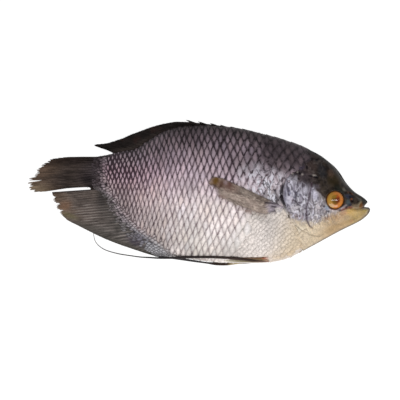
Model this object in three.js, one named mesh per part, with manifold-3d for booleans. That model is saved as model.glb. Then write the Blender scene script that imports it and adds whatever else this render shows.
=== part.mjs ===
// A whole raw gourami, lying on its left flank: head towards +X, back towards +Y, +Z up.
// Millimetres. The origin is under the middle of its bounding box, on the surface it lies on.
//
// One fused solid is the fish: scaled trunk, head, jaws, and fins with their rays.
// The two eyes are separate solids that sit in their sockets.

import * as THREE from "three";
import { mergeVertices } from "three/addons/utils/BufferGeometryUtils.js";
import Module from "manifold-3d";

const wasm = await Module();
wasm.setup();

// ---------------------------------------------------------------- driving dimensions

// Outline of the body without its fins, as [x, y] stations from the tail root to the snout.
const BACK_EDGE = [
  [-117, 35.5], [-104, 36.6], [-90, 38.6], [-77, 42], [-63, 45], [-49, 54], [-34, 62.5], [-14, 67.5],
  [15, 68], [51, 62.6], [97, 49.7], [123, 37], [135, 26.4], [147, 9.8], [159, -1.4], [165.5, -6],
  [168.5, -9.6], [171, -15.5],
];
const BELLY_EDGE = [
  [-117, 5.6], [-104, 5], [-96, -1], [-87, -15.5], [-79, -26.5], [-67, -37.5], [-53, -46], [-37, -56],
  [-21, -63], [5, -68], [36, -70], [63, -70], [87, -66], [111, -54], [135, -41], [159, -28.8],
  [166, -24], [171, -16.5],
];
// Half of the body's thickness, and the height of its median plane above the surface it lies on.
const HALF_GIRTH = [
  [-117, 1.6], [-104, 5.8], [-79, 10.5], [-59, 14.5], [-29, 20], [1, 23.5], [31, 25.3], [61, 25], [91, 23],
  [111, 20], [135, 16], [156, 11], [166, 7], [171, 1],
];
const MEDIAN_HEIGHT = [
  [-171, 1.8], [-154, 3], [-129, 6], [-104, 10.5], [-79, 14.5], [-59, 17.5], [-29, 20.5], [1, 22],
  [31, 22.5], [131, 23], [171, 22.5],
];
const WIDEST_AT = 0.45;        // fraction of the depth, from the belly, where the body is thickest
const SECTION_POWER = 2.2;
const SECTION_ROUNDING = 0.6;

const SCALE_COLUMNS = 33;      // scales in a row between the tail root and the gill cover
const SCALE_ROWS = 18;         // half rows on one flank
const SMALLEST_PITCH = 4.15;   // scale pitch at the tail root
const FIRST_SCALE_X = -99;
const LAST_SCALE_X = 84;
const HIDDEN_COLUMNS = 3;      // columns under the head and in the tail root
const SCALE_LIFT = 0.9;        // a scale's free edge above the one behind it
const SCALE_SWEEP = 11;        // how far the columns lean back at the belly
const SWEEP_FROM = -100;       // the columns lean between these two places
const SWEEP_TO = 75;
const EDGE_CROWDING = 0.1;     // rows lie closer together at the back and belly edges
const TAIL_CROWDING = 0.42;    // and towards the root of the anal fin
const TAIL_CROWDING_FROM = -34;
const TAIL_CROWDING_TO = -87;

// Rear edge of the gill cover, as [fraction of the depth, x], how far it stands proud, and
// how far the head covers the first scales on the nape and the throat.
const GILL_COVER_EDGE = [
  [0, 104], [0.22, 98], [0.33, 90.5], [0.45, 86], [0.55, 83], [0.66, 86], [0.76, 94], [1, 104],
];
const GILL_COVER_LIP = 1.3;
const NAPE_LIP = 0.3;
const HEAD_COLUMNS = 22;
const HEAD_ROWS = 13;          // rows on one side of the head
const SNOUT_X = 171;

const EYE_AT = [135.5, -6.5];
const EYE_RADIUS = 8.9;
const EYE_HALF_THICKNESS = 5.6;
const EYE_PROUD = 1.9;
const EYE_TILT = 0.22;         // forwards, with the taper of the head
const SOCKET_GAP = 0.3;
const ORBIT_RIM = 1.3;

const NOSTRILS = [[150.1, -0.3, 1.2], [151.9, -7.6, 1.5]];   // x, y and radius of each pit
const MOUTH_OPENING = [
  [150, -16.3], [161, -15.3], [165.5, -14.1], [173, -14.4], [173, -4], [168.6, -8.8], [166.8, -11.4],
  [164.9, -13], [161, -14.2], [150, -15.9],
];
// The groove between the cheek and the gill cover.
const CHEEK_GROOVE = [
  [110.7, 7.8], [109.4, 0], [107.4, -8], [106.3, -16.3], [106.3, -24.5], [108.3, -30.4], [112.4, -34.5],
];
const CHEEK_GROOVE_RADIUS = 1.3;

// Routes of the two pelvic fins: one is a long thread, the other a short folded bundle.
const PELVIC_FILAMENT = [
  [70, -64.5, 27], [63, -65, 31.4], [40, -65.4, 31.2], [10, -65.6, 28.8], [-20, -65.2, 24], [-39, -65.2, 21],
  [-50, -64.8, 15.5], [-59, -64.6, 8.5], [-69, -63.4, 3.2], [-81, -61.6, 1], [-93, -58, 0.9],
  [-100, -54, 0.9], [-104, -49, 0.9], [-106, -42.5, 1], [-106.5, -36, 2],
];
const PELVIC_BUNDLE = [
  [60, -66, 17], [46, -69.6, 16], [36, -71.1, 15.5], [26, -71.6, 15.5], [16, -71.3, 16], [6, -70.4, 16.5],
  [-8, -69, 17], [-20, -67.3, 18], [-29, -64.4, 19.4],
];

// ---------------------------------------------------------------- small helpers

// A smooth curve through stations [x, value], held at its ends.
function through(stations) {
  const slopes = stations.map((station, k) => {
    const before = stations[Math.max(k - 1, 0)];
    const after = stations[Math.min(k + 1, stations.length - 1)];
    return (after[1] - before[1]) / (after[0] - before[0]);
  });
  return (x) => {
    let k = 0;
    while (k < stations.length - 2 && x > stations[k + 1][0]) {
      k += 1;
    }
    const span = stations[k + 1][0] - stations[k][0];
    const t = THREE.MathUtils.clamp((x - stations[k][0]) / span, 0, 1);
    const start = stations[k][1] * (1 + 2 * t) * (1 - t) ** 2 + stations[k + 1][1] * t * t * (3 - 2 * t);
    return start + span * t * (1 - t) * (slopes[k] * (1 - t) - slopes[k + 1] * t);
  };
}

const back = through(BACK_EDGE);
const belly = through(BELLY_EDGE);
const halfGirth = through(HALF_GIRTH);
const median = through(MEDIAN_HEIGHT);
const gillCoverEdge = through(GILL_COVER_EDGE);

function smoothstep(x, from, to) {
  return THREE.MathUtils.smoothstep(x, from, to);
}

// Repeatable random numbers from 0 to 1.
function randomFrom(seed) {
  let state = seed;
  return () => {
    state = (state * 1103515245 + 12345) % 2147483648;
    return state / 2147483648;
  };
}

// Half thickness of the body at x, at a fraction of the way from the belly edge to the back edge.
function thicknessAt(x, fraction) {
  const reach = fraction < WIDEST_AT ? WIDEST_AT : 1 - WIDEST_AT;
  const out = Math.min(Math.abs(fraction - WIDEST_AT) / reach, 1);
  return halfGirth(x) * (1 - out ** SECTION_POWER) ** SECTION_ROUNDING;
}

// A point of the skin. side is 1 on the flank that shows and -1 on the one that lies down,
// and lift moves it outwards. The flank that lies down is flat where it meets the surface.
function skinPoint(x, fraction, side, lift) {
  const depth = back(x) - belly(x);
  const step = 0.01;
  const inner = thicknessAt(x, Math.max(fraction - step, 0));
  const outer = thicknessAt(x, Math.min(fraction + step, 1));
  const slope = (outer - inner) / (depth * 2 * step);
  const length = Math.hypot(slope, 1);
  const edge = fraction <= 0 ? -1 : 1;
  const atEdge = fraction <= 0 || fraction >= 1;
  const y = belly(x) + depth * fraction + (atEdge ? edge * lift : (-slope / length) * lift);
  const rise = thicknessAt(x, fraction) + (atEdge ? 0 : lift / length);
  return [x, y, Math.max(median(x) + side * rise, 0)];
}

function fractionAt(x, y) {
  return THREE.MathUtils.clamp((y - belly(x)) / (back(x) - belly(x)), 0, 1);
}

function skinHeight(x, y, side) {
  return skinPoint(x, fractionAt(x, y), side, 0)[2];
}

// A closed geometry from points and triangles, without triangles that have no area.
function geometryOf(points, triangles) {
  const geometry = new THREE.BufferGeometry();
  const real = triangles.filter(([a, b, c]) => a !== b && b !== c && a !== c);
  geometry.setAttribute("position", new THREE.Float32BufferAttribute(points.flat(), 3));
  geometry.setIndex(real.flat());
  return geometry;
}

function solidOf(geometry) {
  const bare = geometry.clone();
  bare.deleteAttribute("normal");
  bare.deleteAttribute("uv");
  const merged = mergeVertices(bare, 1e-4);
  const vertProperties = new Float32Array(merged.attributes.position.array);
  const triVerts = new Uint32Array(merged.index.array);
  return new wasm.Manifold(new wasm.Mesh({ numProp: 3, vertProperties, triVerts }));
}

function meshOf(solid, material) {
  const { vertProperties, triVerts } = solid.getMesh();
  const geometry = new THREE.BufferGeometry();
  geometry.setAttribute("position", new THREE.BufferAttribute(vertProperties, 3));
  geometry.setIndex(new THREE.BufferAttribute(triVerts, 1));
  geometry.computeVertexNormals();
  return new THREE.Mesh(geometry, material);
}

// A thin rod along a route of points.
function rodSolid(route, radius, sides, steps) {
  const curve = new THREE.CatmullRomCurve3(route.map((point) => new THREE.Vector3(...point)));
  const section = new THREE.Shape();
  for (let k = 0; k < sides; k += 1) {
    const angle = (2 * Math.PI * k) / sides;
    const [x, y] = [radius * Math.cos(angle), radius * Math.sin(angle)];
    if (k === 0) {
      section.moveTo(x, y);
    } else {
      section.lineTo(x, y);
    }
  }
  section.closePath();
  return solidOf(new THREE.ExtrudeGeometry(section, { steps, extrudePath: curve, bevelEnabled: false }));
}

// ---------------------------------------------------------------- trunk with its scales

// Where the lattice of scales has its corner (column, row), counted in half pitches.
// Rows 0 to SCALE_ROWS climb the flank that shows, and the rest come back down the other.
function latticePlace(column, row) {
  const side = row <= SCALE_ROWS ? 1 : -1;
  const climb = (side > 0 ? row : 2 * SCALE_ROWS - row) / SCALE_ROWS;
  const along = column / 2;
  const growth = (LAST_SCALE_X - FIRST_SCALE_X - SMALLEST_PITCH * SCALE_COLUMNS) / SCALE_COLUMNS ** 3;
  const straight = FIRST_SCALE_X + SMALLEST_PITCH * along + growth * Math.max(along, 0) ** 3;
  const lean = Math.sin(Math.PI * smoothstep(straight, SWEEP_FROM, SWEEP_TO) ** 0.7);
  const x = straight - SCALE_SWEEP * (1 - climb) ** 2 * lean;
  const nearTail = smoothstep(-straight, -TAIL_CROWDING_FROM, -TAIL_CROWDING_TO);
  const crowded = climb ** (1 + TAIL_CROWDING * nearTail);
  const fraction = crowded - (EDGE_CROWDING * Math.sin(2 * Math.PI * crowded)) / (2 * Math.PI);
  return { x, fraction, side };
}

// How far a scale's free tip stands proud: the scales fade at the back and belly edges and at the
// tail, and are left off under the head and on the flank that lies down.
function scaleLift(column, row) {
  const { x, fraction, side } = latticePlace(column, row);
  const fromEdge = Math.min(row % SCALE_ROWS, SCALE_ROWS - (row % SCALE_ROWS));
  const covered = x > gillCoverEdge(fraction) - 1;
  const hidden = column < 2 || side < 0;
  if (fromEdge < 2 || covered || hidden) {
    return 0;
  }
  return SCALE_LIFT * Math.min(fromEdge / 3, 1) * (0.6 + 0.4 * smoothstep(x, -90, 0));
}

function trunkSolid() {
  const firstColumn = -2 * HIDDEN_COLUMNS;
  const lastColumn = 2 * (SCALE_COLUMNS + HIDDEN_COLUMNS);
  const around = 2 * SCALE_ROWS;
  const points = [];
  const triangles = [];
  const corners = new Map();

  // Each corner has three levels: under the scale behind, at its sides, and on its own free tip.
  function corner(column, row, level) {
    const wrapped = (row + around) % around;
    const key = `${column},${wrapped}`;
    if (!corners.has(key)) {
      const { x, fraction, side } = latticePlace(column, wrapped);
      const lift = scaleLift(column, wrapped);
      const levels = lift > 0 ? [0, lift / 2, lift] : [0];
      const indices = levels.map((height) => points.push(skinPoint(x, fraction, side, height)) - 1);
      corners.set(key, [0, 1, 2].map((k) => indices[Math.min(k, indices.length - 1)]));
    }
    return corners.get(key)[level];
  }

  for (let column = firstColumn + 1; column < lastColumn; column += 1) {
    for (let row = 0; row < around; row += 1) {
      if ((column + row) % 2 === 0) {
        continue;
      }
      const rear = corner(column - 1, row, 2);
      const rearFoot = corner(column - 1, row, 1);
      const front = corner(column + 1, row, 0);
      const [above, aboveFoot] = [corner(column, row + 1, 1), corner(column, row + 1, 0)];
      const [below, belowFoot] = [corner(column, row - 1, 1), corner(column, row - 1, 0)];
      triangles.push([rear, below, front], [rear, front, above]);
      if (column > firstColumn + 1) {
        triangles.push([rear, above, aboveFoot], [rear, aboveFoot, rearFoot]);
        triangles.push([below, rear, rearFoot], [below, rearFoot, belowFoot]);
      }
    }
  }
  // Both ends close on a point in the middle of their ring of corners.
  const ends = [[firstColumn, firstColumn + 1, true], [lastColumn, lastColumn - 1, false]];
  for (const [end, inner, facesTail] of ends) {
    const ring = [];
    for (let row = 0; row < around; row += 1) {
      ring.push(corner(row % 2 === 0 ? end : inner, row, 0));
    }
    const opposite = points[ring[SCALE_ROWS]];
    const middle = points.push(points[ring[0]].map((value, k) => (value + opposite[k]) / 2)) - 1;
    ring.forEach((index, k) => {
      const next = ring[(k + 1) % around];
      triangles.push(facesTail ? [index, next, middle] : [next, index, middle]);
    });
  }
  return solidOf(geometryOf(points, triangles));
}

// ---------------------------------------------------------------- head

// Rings of points from inside the trunk, over the raised edge of the gill cover, to the snout.
function headSolid() {
  const around = 2 * HEAD_ROWS;
  const points = [];
  const triangles = [];

  function headPoint(column, row) {
    const side = row <= HEAD_ROWS ? 1 : -1;
    const climb = (side > 0 ? row : around - row) / HEAD_ROWS;
    const fraction = climb - (0.5 * Math.sin(2 * Math.PI * climb)) / (2 * Math.PI);
    const edge = gillCoverEdge(fraction);
    const flap = smoothstep(fraction, 0.12, 0.3) * smoothstep(-fraction, -0.8, -0.66);
    if (column === 0) {
      return skinPoint(edge - 12, fraction, side, -3);
    }
    if (column === 1) {
      return skinPoint(edge - 0.5, fraction, side, -0.7);
    }
    const along = (column - 2) / (HEAD_COLUMNS - 2);
    const eased = Math.sin((along * Math.PI) / 2) ** 1.15;
    const lip = NAPE_LIP + (GILL_COVER_LIP - NAPE_LIP) * flap * (1 - smoothstep(along, 0, 0.3));
    return skinPoint(edge + (SNOUT_X - edge) * eased, fraction, side, lip * (1 - eased));
  }

  for (let column = 0; column < HEAD_COLUMNS; column += 1) {
    for (let row = 0; row < around; row += 1) {
      points.push(headPoint(column, row));
    }
  }
  const at = (column, row) => column * around + (row % around);
  for (let column = 0; column < HEAD_COLUMNS - 1; column += 1) {
    for (let row = 0; row < around; row += 1) {
      const [a, b] = [at(column, row), at(column + 1, row)];
      const [c, d] = [at(column + 1, row + 1), at(column, row + 1)];
      triangles.push([a, b, c], [a, c, d]);
    }
  }
  const rear = points.push([90, -8, median(90)]) - 1;
  const snout = points.push([SNOUT_X, (back(SNOUT_X) + belly(SNOUT_X)) / 2, median(SNOUT_X)]) - 1;
  for (let row = 0; row < around; row += 1) {
    triangles.push([at(0, row + 1), rear, at(0, row)]);
    triangles.push([at(HEAD_COLUMNS - 1, row), snout, at(HEAD_COLUMNS - 1, row + 1)]);
  }
  return solidOf(geometryOf(points, triangles));
}

// A wedge across the whole head that opens the mouth between the two jaws.
function mouthSolid() {
  const wedge = new THREE.Shape(MOUTH_OPENING.map(([x, y]) => new THREE.Vector2(x, y)));
  const geometry = new THREE.ExtrudeGeometry(wedge, { depth: 2 * median(SNOUT_X), bevelEnabled: false });
  return solidOf(geometry);
}

function cheekGrooveSolid(side) {
  const route = CHEEK_GROOVE.map(([x, y]) => [x, y, skinHeight(x, y, side) + side * 0.6]);
  return rodSolid(route, CHEEK_GROOVE_RADIUS, 4, 10);
}

function nostrilSolid([x, y, radius], side) {
  const pit = new THREE.SphereGeometry(radius, 7, 4);
  pit.translate(x, y, skinHeight(x, y, side));
  return solidOf(pit);
}

// ---------------------------------------------------------------- eyes

// A lens-shaped ball, its axis square to the side of the head.
function eyeGeometry(side, grow, steps, segments) {
  const profile = [];
  for (let k = 0; k <= steps; k += 1) {
    const angle = -Math.PI / 2 + (Math.PI * k) / steps;
    const radius = k === 0 || k === steps ? 0 : (EYE_RADIUS + grow) * Math.cos(angle);
    profile.push(new THREE.Vector2(radius, (EYE_HALF_THICKNESS + grow) * Math.sin(angle)));
  }
  const geometry = new THREE.LatheGeometry(profile, segments);
  const [x, y] = EYE_AT;
  geometry.rotateX(Math.PI / 2);
  geometry.rotateY(side * EYE_TILT);
  geometry.translate(x, y, skinHeight(x, y, side) + side * (EYE_PROUD - EYE_HALF_THICKNESS));
  return geometry;
}

function orbitRimSolid(side) {
  const rim = new THREE.TorusGeometry(EYE_RADIUS + 0.6, ORBIT_RIM, 5, 18);
  const [x, y] = EYE_AT;
  rim.rotateY(side * EYE_TILT);
  rim.translate(x, y, skinHeight(x, y, side) - side * 0.9);
  return solidOf(rim);
}

// ---------------------------------------------------------------- fins

// A fin of straight rays with pleated skin between them and a ragged margin.
// root and tip give the ends of the ray at t from 0 to 1, and height gives the middle of the
// fin's thickness at t, part of the way out.
function finSolid({ rays, rings, root, tip, height, half, pleat, notch, seed }) {
  const random = randomFrom(seed);
  const lines = 2 * rays;
  const points = [];
  const triangles = [];
  const count = (rings + 1) * 2;
  for (let line = 0; line <= lines; line += 1) {
    const t = line / lines;
    const onRay = line % 2 === 1;
    const reach = onRay ? 1 - 0.3 * notch * random() : 1 - notch * (0.5 + random());
    for (let ring = 0; ring <= rings; ring += 1) {
      const out = (ring / rings) * reach;
      const x = THREE.MathUtils.lerp(root(t)[0], tip(t)[0], out);
      const y = THREE.MathUtils.lerp(root(t)[1], tip(t)[1], out);
      const fold = (onRay ? pleat : -pleat) * Math.sin(Math.PI * Math.min(0.2 + out, 0.75));
      const [low, high] = height(t, out, x, y, (onRay ? 1 : 0.6) * half);
      points.push([x, y, high + fold], [x, y, Math.max(low + fold, 0.05)]);
    }
  }
  const top = (line, ring) => line * count + ring * 2;
  const bottom = (line, ring) => top(line, ring) + 1;
  const wall = (a, b, aLow, bLow) => triangles.push([a, aLow, bLow], [a, bLow, b]);
  for (let line = 0; line < lines; line += 1) {
    for (let ring = 0; ring < rings; ring += 1) {
      const [a, b] = [top(line, ring), top(line, ring + 1)];
      const [c, d] = [top(line + 1, ring + 1), top(line + 1, ring)];
      triangles.push([a, b, c], [a, c, d], [c + 1, b + 1, a + 1], [d + 1, c + 1, a + 1]);
    }
    wall(top(line + 1, 0), top(line, 0), bottom(line + 1, 0), bottom(line, 0));
    wall(top(line, rings), top(line + 1, rings), bottom(line, rings), bottom(line + 1, rings));
  }
  for (let ring = 0; ring < rings; ring += 1) {
    wall(top(0, ring), top(0, ring + 1), bottom(0, ring), bottom(0, ring + 1));
    wall(top(lines, ring + 1), top(lines, ring), bottom(lines, ring + 1), bottom(lines, ring));
  }
  return solidOf(turnedOut(geometryOf(points, triangles)));
}

// The same geometry, with its triangles turned to face outwards if they face inwards.
function turnedOut(geometry) {
  const { position } = geometry.attributes;
  const index = geometry.index.array;
  const [a, b, c] = [new THREE.Vector3(), new THREE.Vector3(), new THREE.Vector3()];
  let volume = 0;
  for (let k = 0; k < index.length; k += 3) {
    a.fromBufferAttribute(position, index[k]);
    b.fromBufferAttribute(position, index[k + 1]);
    c.fromBufferAttribute(position, index[k + 2]);
    volume += a.dot(b.cross(c));
  }
  if (volume < 0) {
    for (let k = 0; k < index.length; k += 3) {
      [index[k], index[k + 1]] = [index[k + 1], index[k]];
    }
  }
  return geometry;
}

// A path of [x, y] points as a function of t from 0 to 1.
function pathOf(points) {
  const step = 1 / (points.length - 1);
  const x = through(points.map((point, k) => [k * step, point[0]]));
  const y = through(points.map((point, k) => [k * step, point[1]]));
  return (t) => [x(t), y(t)];
}

// Heights of a thin fin that leaves the body's median plane and sags towards tipHeight(t).
function sagging(root, tipHeight) {
  return (t, out, x, y, half) => {
    const start = median(root(t)[0]);
    const middle = THREE.MathUtils.lerp(start, tipHeight(t), out ** 1.3);
    const low = Math.max(middle - half, 0.3);
    return [low, low + 2 * half];
  };
}

function tailFinSolid() {
  const root = pathOf([[-103, 8], [-103, 33]]);
  const tip = pathOf([
    [-118, 5.6], [-139, 4], [-152, 1.3], [-163, 0.6], [-169.5, 2.5], [-171.3, 6.5], [-169.5, 13.5],
    [-165.5, 18.5], [-163, 22], [-158.5, 27.5], [-151.5, 32.6], [-140, 35.9], [-118, 36.4],
  ]);
  const height = sagging(root, () => 2.2);
  return finSolid({ rays: 14, rings: 3, root, tip, height, half: 1, pleat: 0.55, notch: 0.03, seed: 3 });
}

function analFinSolid() {
  const root = pathOf([
    [-98, 5.5], [-88, -3], [-80, -14], [-69, -25], [-55, -35], [-41, -44], [-27, -52], [-12, -60],
  ]);
  const tip = pathOf([
    [-148.8, 0.3], [-146.6, -8.5], [-142, -17.5], [-134.5, -26.8], [-117.5, -36.6], [-93.5, -47.6],
    [-69.5, -57], [-36, -66.3],
  ]);
  const tipHeight = through([[0, 2.2], [0.5, 2], [0.72, 4], [0.86, 10], [1, 21]]);
  const height = sagging(root, tipHeight);
  return finSolid({ rays: 22, rings: 3, root, tip, height, half: 0.9, pleat: 0.5, notch: 0.05, seed: 5 });
}

function dorsalFinSolid() {
  const root = pathOf([
    [-82, 37], [-72, 39], [-60, 42], [-52, 48], [-42, 54], [-30, 60], [-14, 63.5], [2, 64.5], [20, 63],
  ]);
  const tip = pathOf([
    [-100, 43.9], [-106, 48.4], [-92, 51.7], [-78, 55.5], [-64, 61], [-46, 68], [-27, 71.6], [-11, 72.9],
    [15, 70.2],
  ]);
  const tipHeight = through([[0, 10], [0.12, 7], [0.4, 15], [0.7, 23], [1, 26.5]]);
  const height = sagging(root, tipHeight);
  return finSolid({ rays: 16, rings: 2, root, tip, height, half: 0.9, pleat: 0.4, notch: 0.05, seed: 7 });
}

// A pectoral fin lies on the flank, folded back from its root behind the gill cover.
function pectoralFinSolid(side, turn, seed) {
  const hinge = new THREE.Vector2(82, -16);
  const turned = (path) => (t) => {
    const place = new THREE.Vector2(...path(t)).rotateAround(hinge, turn);
    return [place.x, place.y];
  };
  const root = turned(pathOf([[85, -12.5], [78, -20.5]]));
  const tip = turned(pathOf([
    [23, 14], [11.5, 13.5], [14, 6.5], [23, -1], [36, -10.5], [51, -18.5], [66, -23.5],
  ]));
  const height = (t, out, x, y) => {
    const skin = skinHeight(x, y, side);
    return side > 0 ? [skin - 1.5, skin + 1.4] : [skin - 1.1, skin + 1.5];
  };
  return finSolid({ rays: 9, rings: 4, root, tip, height, half: 0.6, pleat: 0.25, notch: 0.04, seed });
}

// ---------------------------------------------------------------- the fish

const skinMaterial = new THREE.MeshStandardMaterial({ color: 0x9a8b8b, roughness: 0.38, metalness: 0 });
const eyeMaterial = new THREE.MeshStandardMaterial({ color: 0x8f6a36, roughness: 0.12, metalness: 0 });

const SIDES = [1, -1];

const added = [
  headSolid(),
  tailFinSolid(),
  analFinSolid(),
  dorsalFinSolid(),
  pectoralFinSolid(1, 0, 11),
  pectoralFinSolid(-1, 0.8, 13),
  rodSolid(PELVIC_FILAMENT, 0.75, 5, 32),
  rodSolid(PELVIC_BUNDLE, 1.2, 6, 14),
  ...SIDES.map(orbitRimSolid),
];
const removed = [
  mouthSolid(),
  ...SIDES.map(cheekGrooveSolid),
  ...SIDES.flatMap((side) => NOSTRILS.map((nostril) => nostrilSolid(nostril, side))),
  ...SIDES.map((side) => solidOf(eyeGeometry(side, SOCKET_GAP, 8, 20))),
];
const whole = added.reduce((solid, piece) => solid.add(piece), trunkSolid());
const carved = removed.reduce((solid, piece) => solid.subtract(piece), whole);

const fish = new THREE.Group();
const body = meshOf(carved, skinMaterial);
body.name = "fish";
fish.add(body);
for (const [name, side] of [["eye_right", 1], ["eye_left", -1]]) {
  const eye = meshOf(solidOf(eyeGeometry(side, 0, 9, 24)), eyeMaterial);
  eye.name = name;
  fish.add(eye);
}

export default fish;
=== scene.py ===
"""A whole raw gourami lying on its left flank, dressed over its CAD solids.

Lengths in this file are millimetres in the CAD's own frame (head towards +X, back towards +Y,
+Z up) and become metres when a mesh is made.
"""
import math
import random

import bmesh
import bpy
import numpy as np
from mathutils import Matrix, Vector
from mathutils.bvhtree import BVHTree


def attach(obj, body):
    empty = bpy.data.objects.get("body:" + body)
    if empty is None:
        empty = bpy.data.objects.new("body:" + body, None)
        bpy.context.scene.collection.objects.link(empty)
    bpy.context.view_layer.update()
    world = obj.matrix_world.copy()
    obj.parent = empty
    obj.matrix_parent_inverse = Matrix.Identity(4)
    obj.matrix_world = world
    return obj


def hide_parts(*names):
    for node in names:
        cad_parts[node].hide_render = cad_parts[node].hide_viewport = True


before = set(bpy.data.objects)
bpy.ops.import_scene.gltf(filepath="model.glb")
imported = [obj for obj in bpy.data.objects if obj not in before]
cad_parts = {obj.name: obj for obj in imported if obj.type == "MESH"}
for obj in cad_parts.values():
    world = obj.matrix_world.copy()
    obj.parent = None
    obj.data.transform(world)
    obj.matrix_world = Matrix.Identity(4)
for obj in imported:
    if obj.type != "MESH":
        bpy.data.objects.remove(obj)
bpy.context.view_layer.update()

MM = 0.001

# ------------------------------------------------------------------ driving dimensions

BACK_EDGE = [
    (-117, 35.5), (-104, 37), (-90, 39.2), (-77, 42), (-63, 45), (-49, 54), (-34, 62.5), (-14, 67.5),
    (15, 68), (51, 62.6), (97, 49.6), (123, 37), (135, 26.4), (147, 9.8), (159, -1.4), (165.5, -6),
    (168.5, -9.6), (171, -15.5),
]
BELLY_EDGE = [
    (-117, 5.6), (-104, 5), (-96, -1), (-87, -15.5), (-79, -26.5), (-67, -37.5), (-53, -46), (-37, -56),
    (-21, -63), (5, -68), (36, -70), (63, -70), (87, -66), (111, -54), (135, -41), (159, -28.8),
    (166, -24), (171, -16.5),
]
HALF_GIRTH = [
    (-117, 1.6), (-104, 5.8), (-79, 10.5), (-59, 14.5), (-29, 20), (1, 23.5), (31, 25.3), (61, 25),
    (91, 23), (111, 20), (135, 16), (156, 11), (166, 7), (171, 1),
]
MEDIAN_HEIGHT = [
    (-171, 1.8), (-154, 3), (-129, 6), (-104, 10.5), (-79, 14.5), (-59, 17.5), (-29, 20.5), (1, 22),
    (31, 22.5), (131, 23), (171, 22.5),
]
WIDEST_AT = 0.45
SECTION_POWER = 2.2
SECTION_ROUNDING = 0.6

# The lattice of scales: its lowest row runs on below the root of the anal fin, where it is left out.
SCALE_COLUMNS = 33
SCALE_ROWS = 18
SMALLEST_PITCH = 4.15
FIRST_SCALE_X = -99
LAST_SCALE_X = 84
LOWEST_ROW = [(-117, -44), (-99, -47), (-79, -50), (-49, -61), (-29, -62.5), (-10, -66.2), (5, -68)]
SCALE_SWEEP = 11
EDGE_CROWDING = 0.1
SCALE_LIFT = 0.95
TAIL_SHRINK = 0.17      # how fast the scales get smaller on the root of the tail fin
UNEVENNESS = 0.42       # how far scales stray from their rows
LEAST_LIFT = 0.3
COLUMNS_BEYOND = 12     # half pitches that the lattice runs on at both ends, to be left out by place

# Rear edge of the gill cover, as (fraction of the depth, x).
GILL_COVER_EDGE = [
    (0, 104), (0.22, 98), (0.33, 90.5), (0.45, 86), (0.55, 83), (0.66, 86), (0.76, 94), (1, 104),
]
# Outline of the head from the throat, round the jaws and the open mouth, to the nape.
HEAD_OUTLINE = [
    (104, -57.8), (123, -47.4), (141, -37.6), (159, -28.8), (166, -24), (169.7, -20), (171, -16.8),
    (170.2, -14.6), (167.6, -13.9), (165.2, -13.6), (166.6, -11.3), (168.4, -8.9), (166.6, -6.3),
    (162.5, -3.1), (155, 1.8), (147.2, 10.2), (141.3, 19.5), (135.3, 26.7), (129, 31.9), (121, 37.9),
    (111, 43.1), (104, 46.5),
]

EYE_AT = (134.8, -6.8)
EYE_RADIUS = 8.9
EYE_TILT = 0.22
EYE_SINK = 2.0          # the eye's rim below the skin round it
EYE_DOME = 3.4
PUPIL_RADIUS = 5.4

# ------------------------------------------------------------------ camera and light

PICTURE_CENTRE = (1.0, -6.8)
PICTURE_WIDTH = 400.0
CAMERA_HEIGHT = 2000.0
SENSOR = 36.0
# Lamps: name, place in metres, size and power.
LAMPS = [
    ("light_key", (0.3, -1.25, 1.4), (2.4, 1.0), 29),
    ("light_low_left", (-1.5, 0.2, 0.8), (0.6, 0.9), 3),
    ("light_strip", (0.66, -0.02, 1.75), (1.4, 0.045), 5.5),
]
LAMP_TARGET = (0, 0, 0.02)
WORLD_LIGHT = 0.26
FLOOR_SIZE = 6
FLOOR_GREY = 0.15
FLOOR_GLOW = 0.96


def point_down(thing, target, up=(0, 1, 0)):
    """Turn an object so that it looks at target with up towards the top of the picture."""
    back = (thing.location - Vector(target)).normalized()
    side = Vector(up).cross(back).normalized()
    top = back.cross(side)
    thing.rotation_euler = Matrix((side, top, back)).transposed().to_euler()


def make_camera():
    data = bpy.data.cameras.new("camera")
    camera = bpy.data.objects.new("camera", data)
    bpy.context.collection.objects.link(camera)
    middle = np.interp(0, *zip(*MEDIAN_HEIGHT))
    data.sensor_width = SENSOR
    data.lens = SENSOR * CAMERA_HEIGHT / PICTURE_WIDTH
    data.clip_end = 20
    x, y = PICTURE_CENTRE
    camera.location = (x * MM, y * MM, (CAMERA_HEIGHT + middle) * MM)
    point_down(camera, (x * MM, y * MM, 0))
    bpy.context.scene.camera = camera


def make_lamp(name, place, size, power):
    data = bpy.data.lights.new(name, "AREA")
    data.shape = "RECTANGLE"
    data.size, data.size_y = size
    data.energy = power
    lamp = bpy.data.objects.new(name, data)
    bpy.context.collection.objects.link(lamp)
    lamp.location = place
    point_down(lamp, LAMP_TARGET)


def make_world():
    world = bpy.data.worlds.new("studio")
    world.use_nodes = True
    background = world.node_tree.nodes["Background"]
    background.inputs["Color"].default_value = (1, 1, 1, 1)
    background.inputs["Strength"].default_value = WORLD_LIGHT
    scene = bpy.context.scene
    scene.world = world
    scene.view_settings.view_transform = "Standard"
    scene.view_settings.look = "None"


def make_floor():
    bpy.ops.mesh.primitive_plane_add(size=FLOOR_SIZE)
    floor = bpy.context.object
    floor.name = "floor"
    material, shader = new_material("floor", roughness=0.8, specular=0.1)
    shader.inputs["Base Color"].default_value = (FLOOR_GREY, FLOOR_GREY, FLOOR_GREY, 1)
    shader.inputs["Emission Color"].default_value = (1, 1, 1, 1)
    shader.inputs["Emission Strength"].default_value = FLOOR_GLOW
    floor.data.materials.append(material)


# ------------------------------------------------------------------ curves, noise and masks


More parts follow.
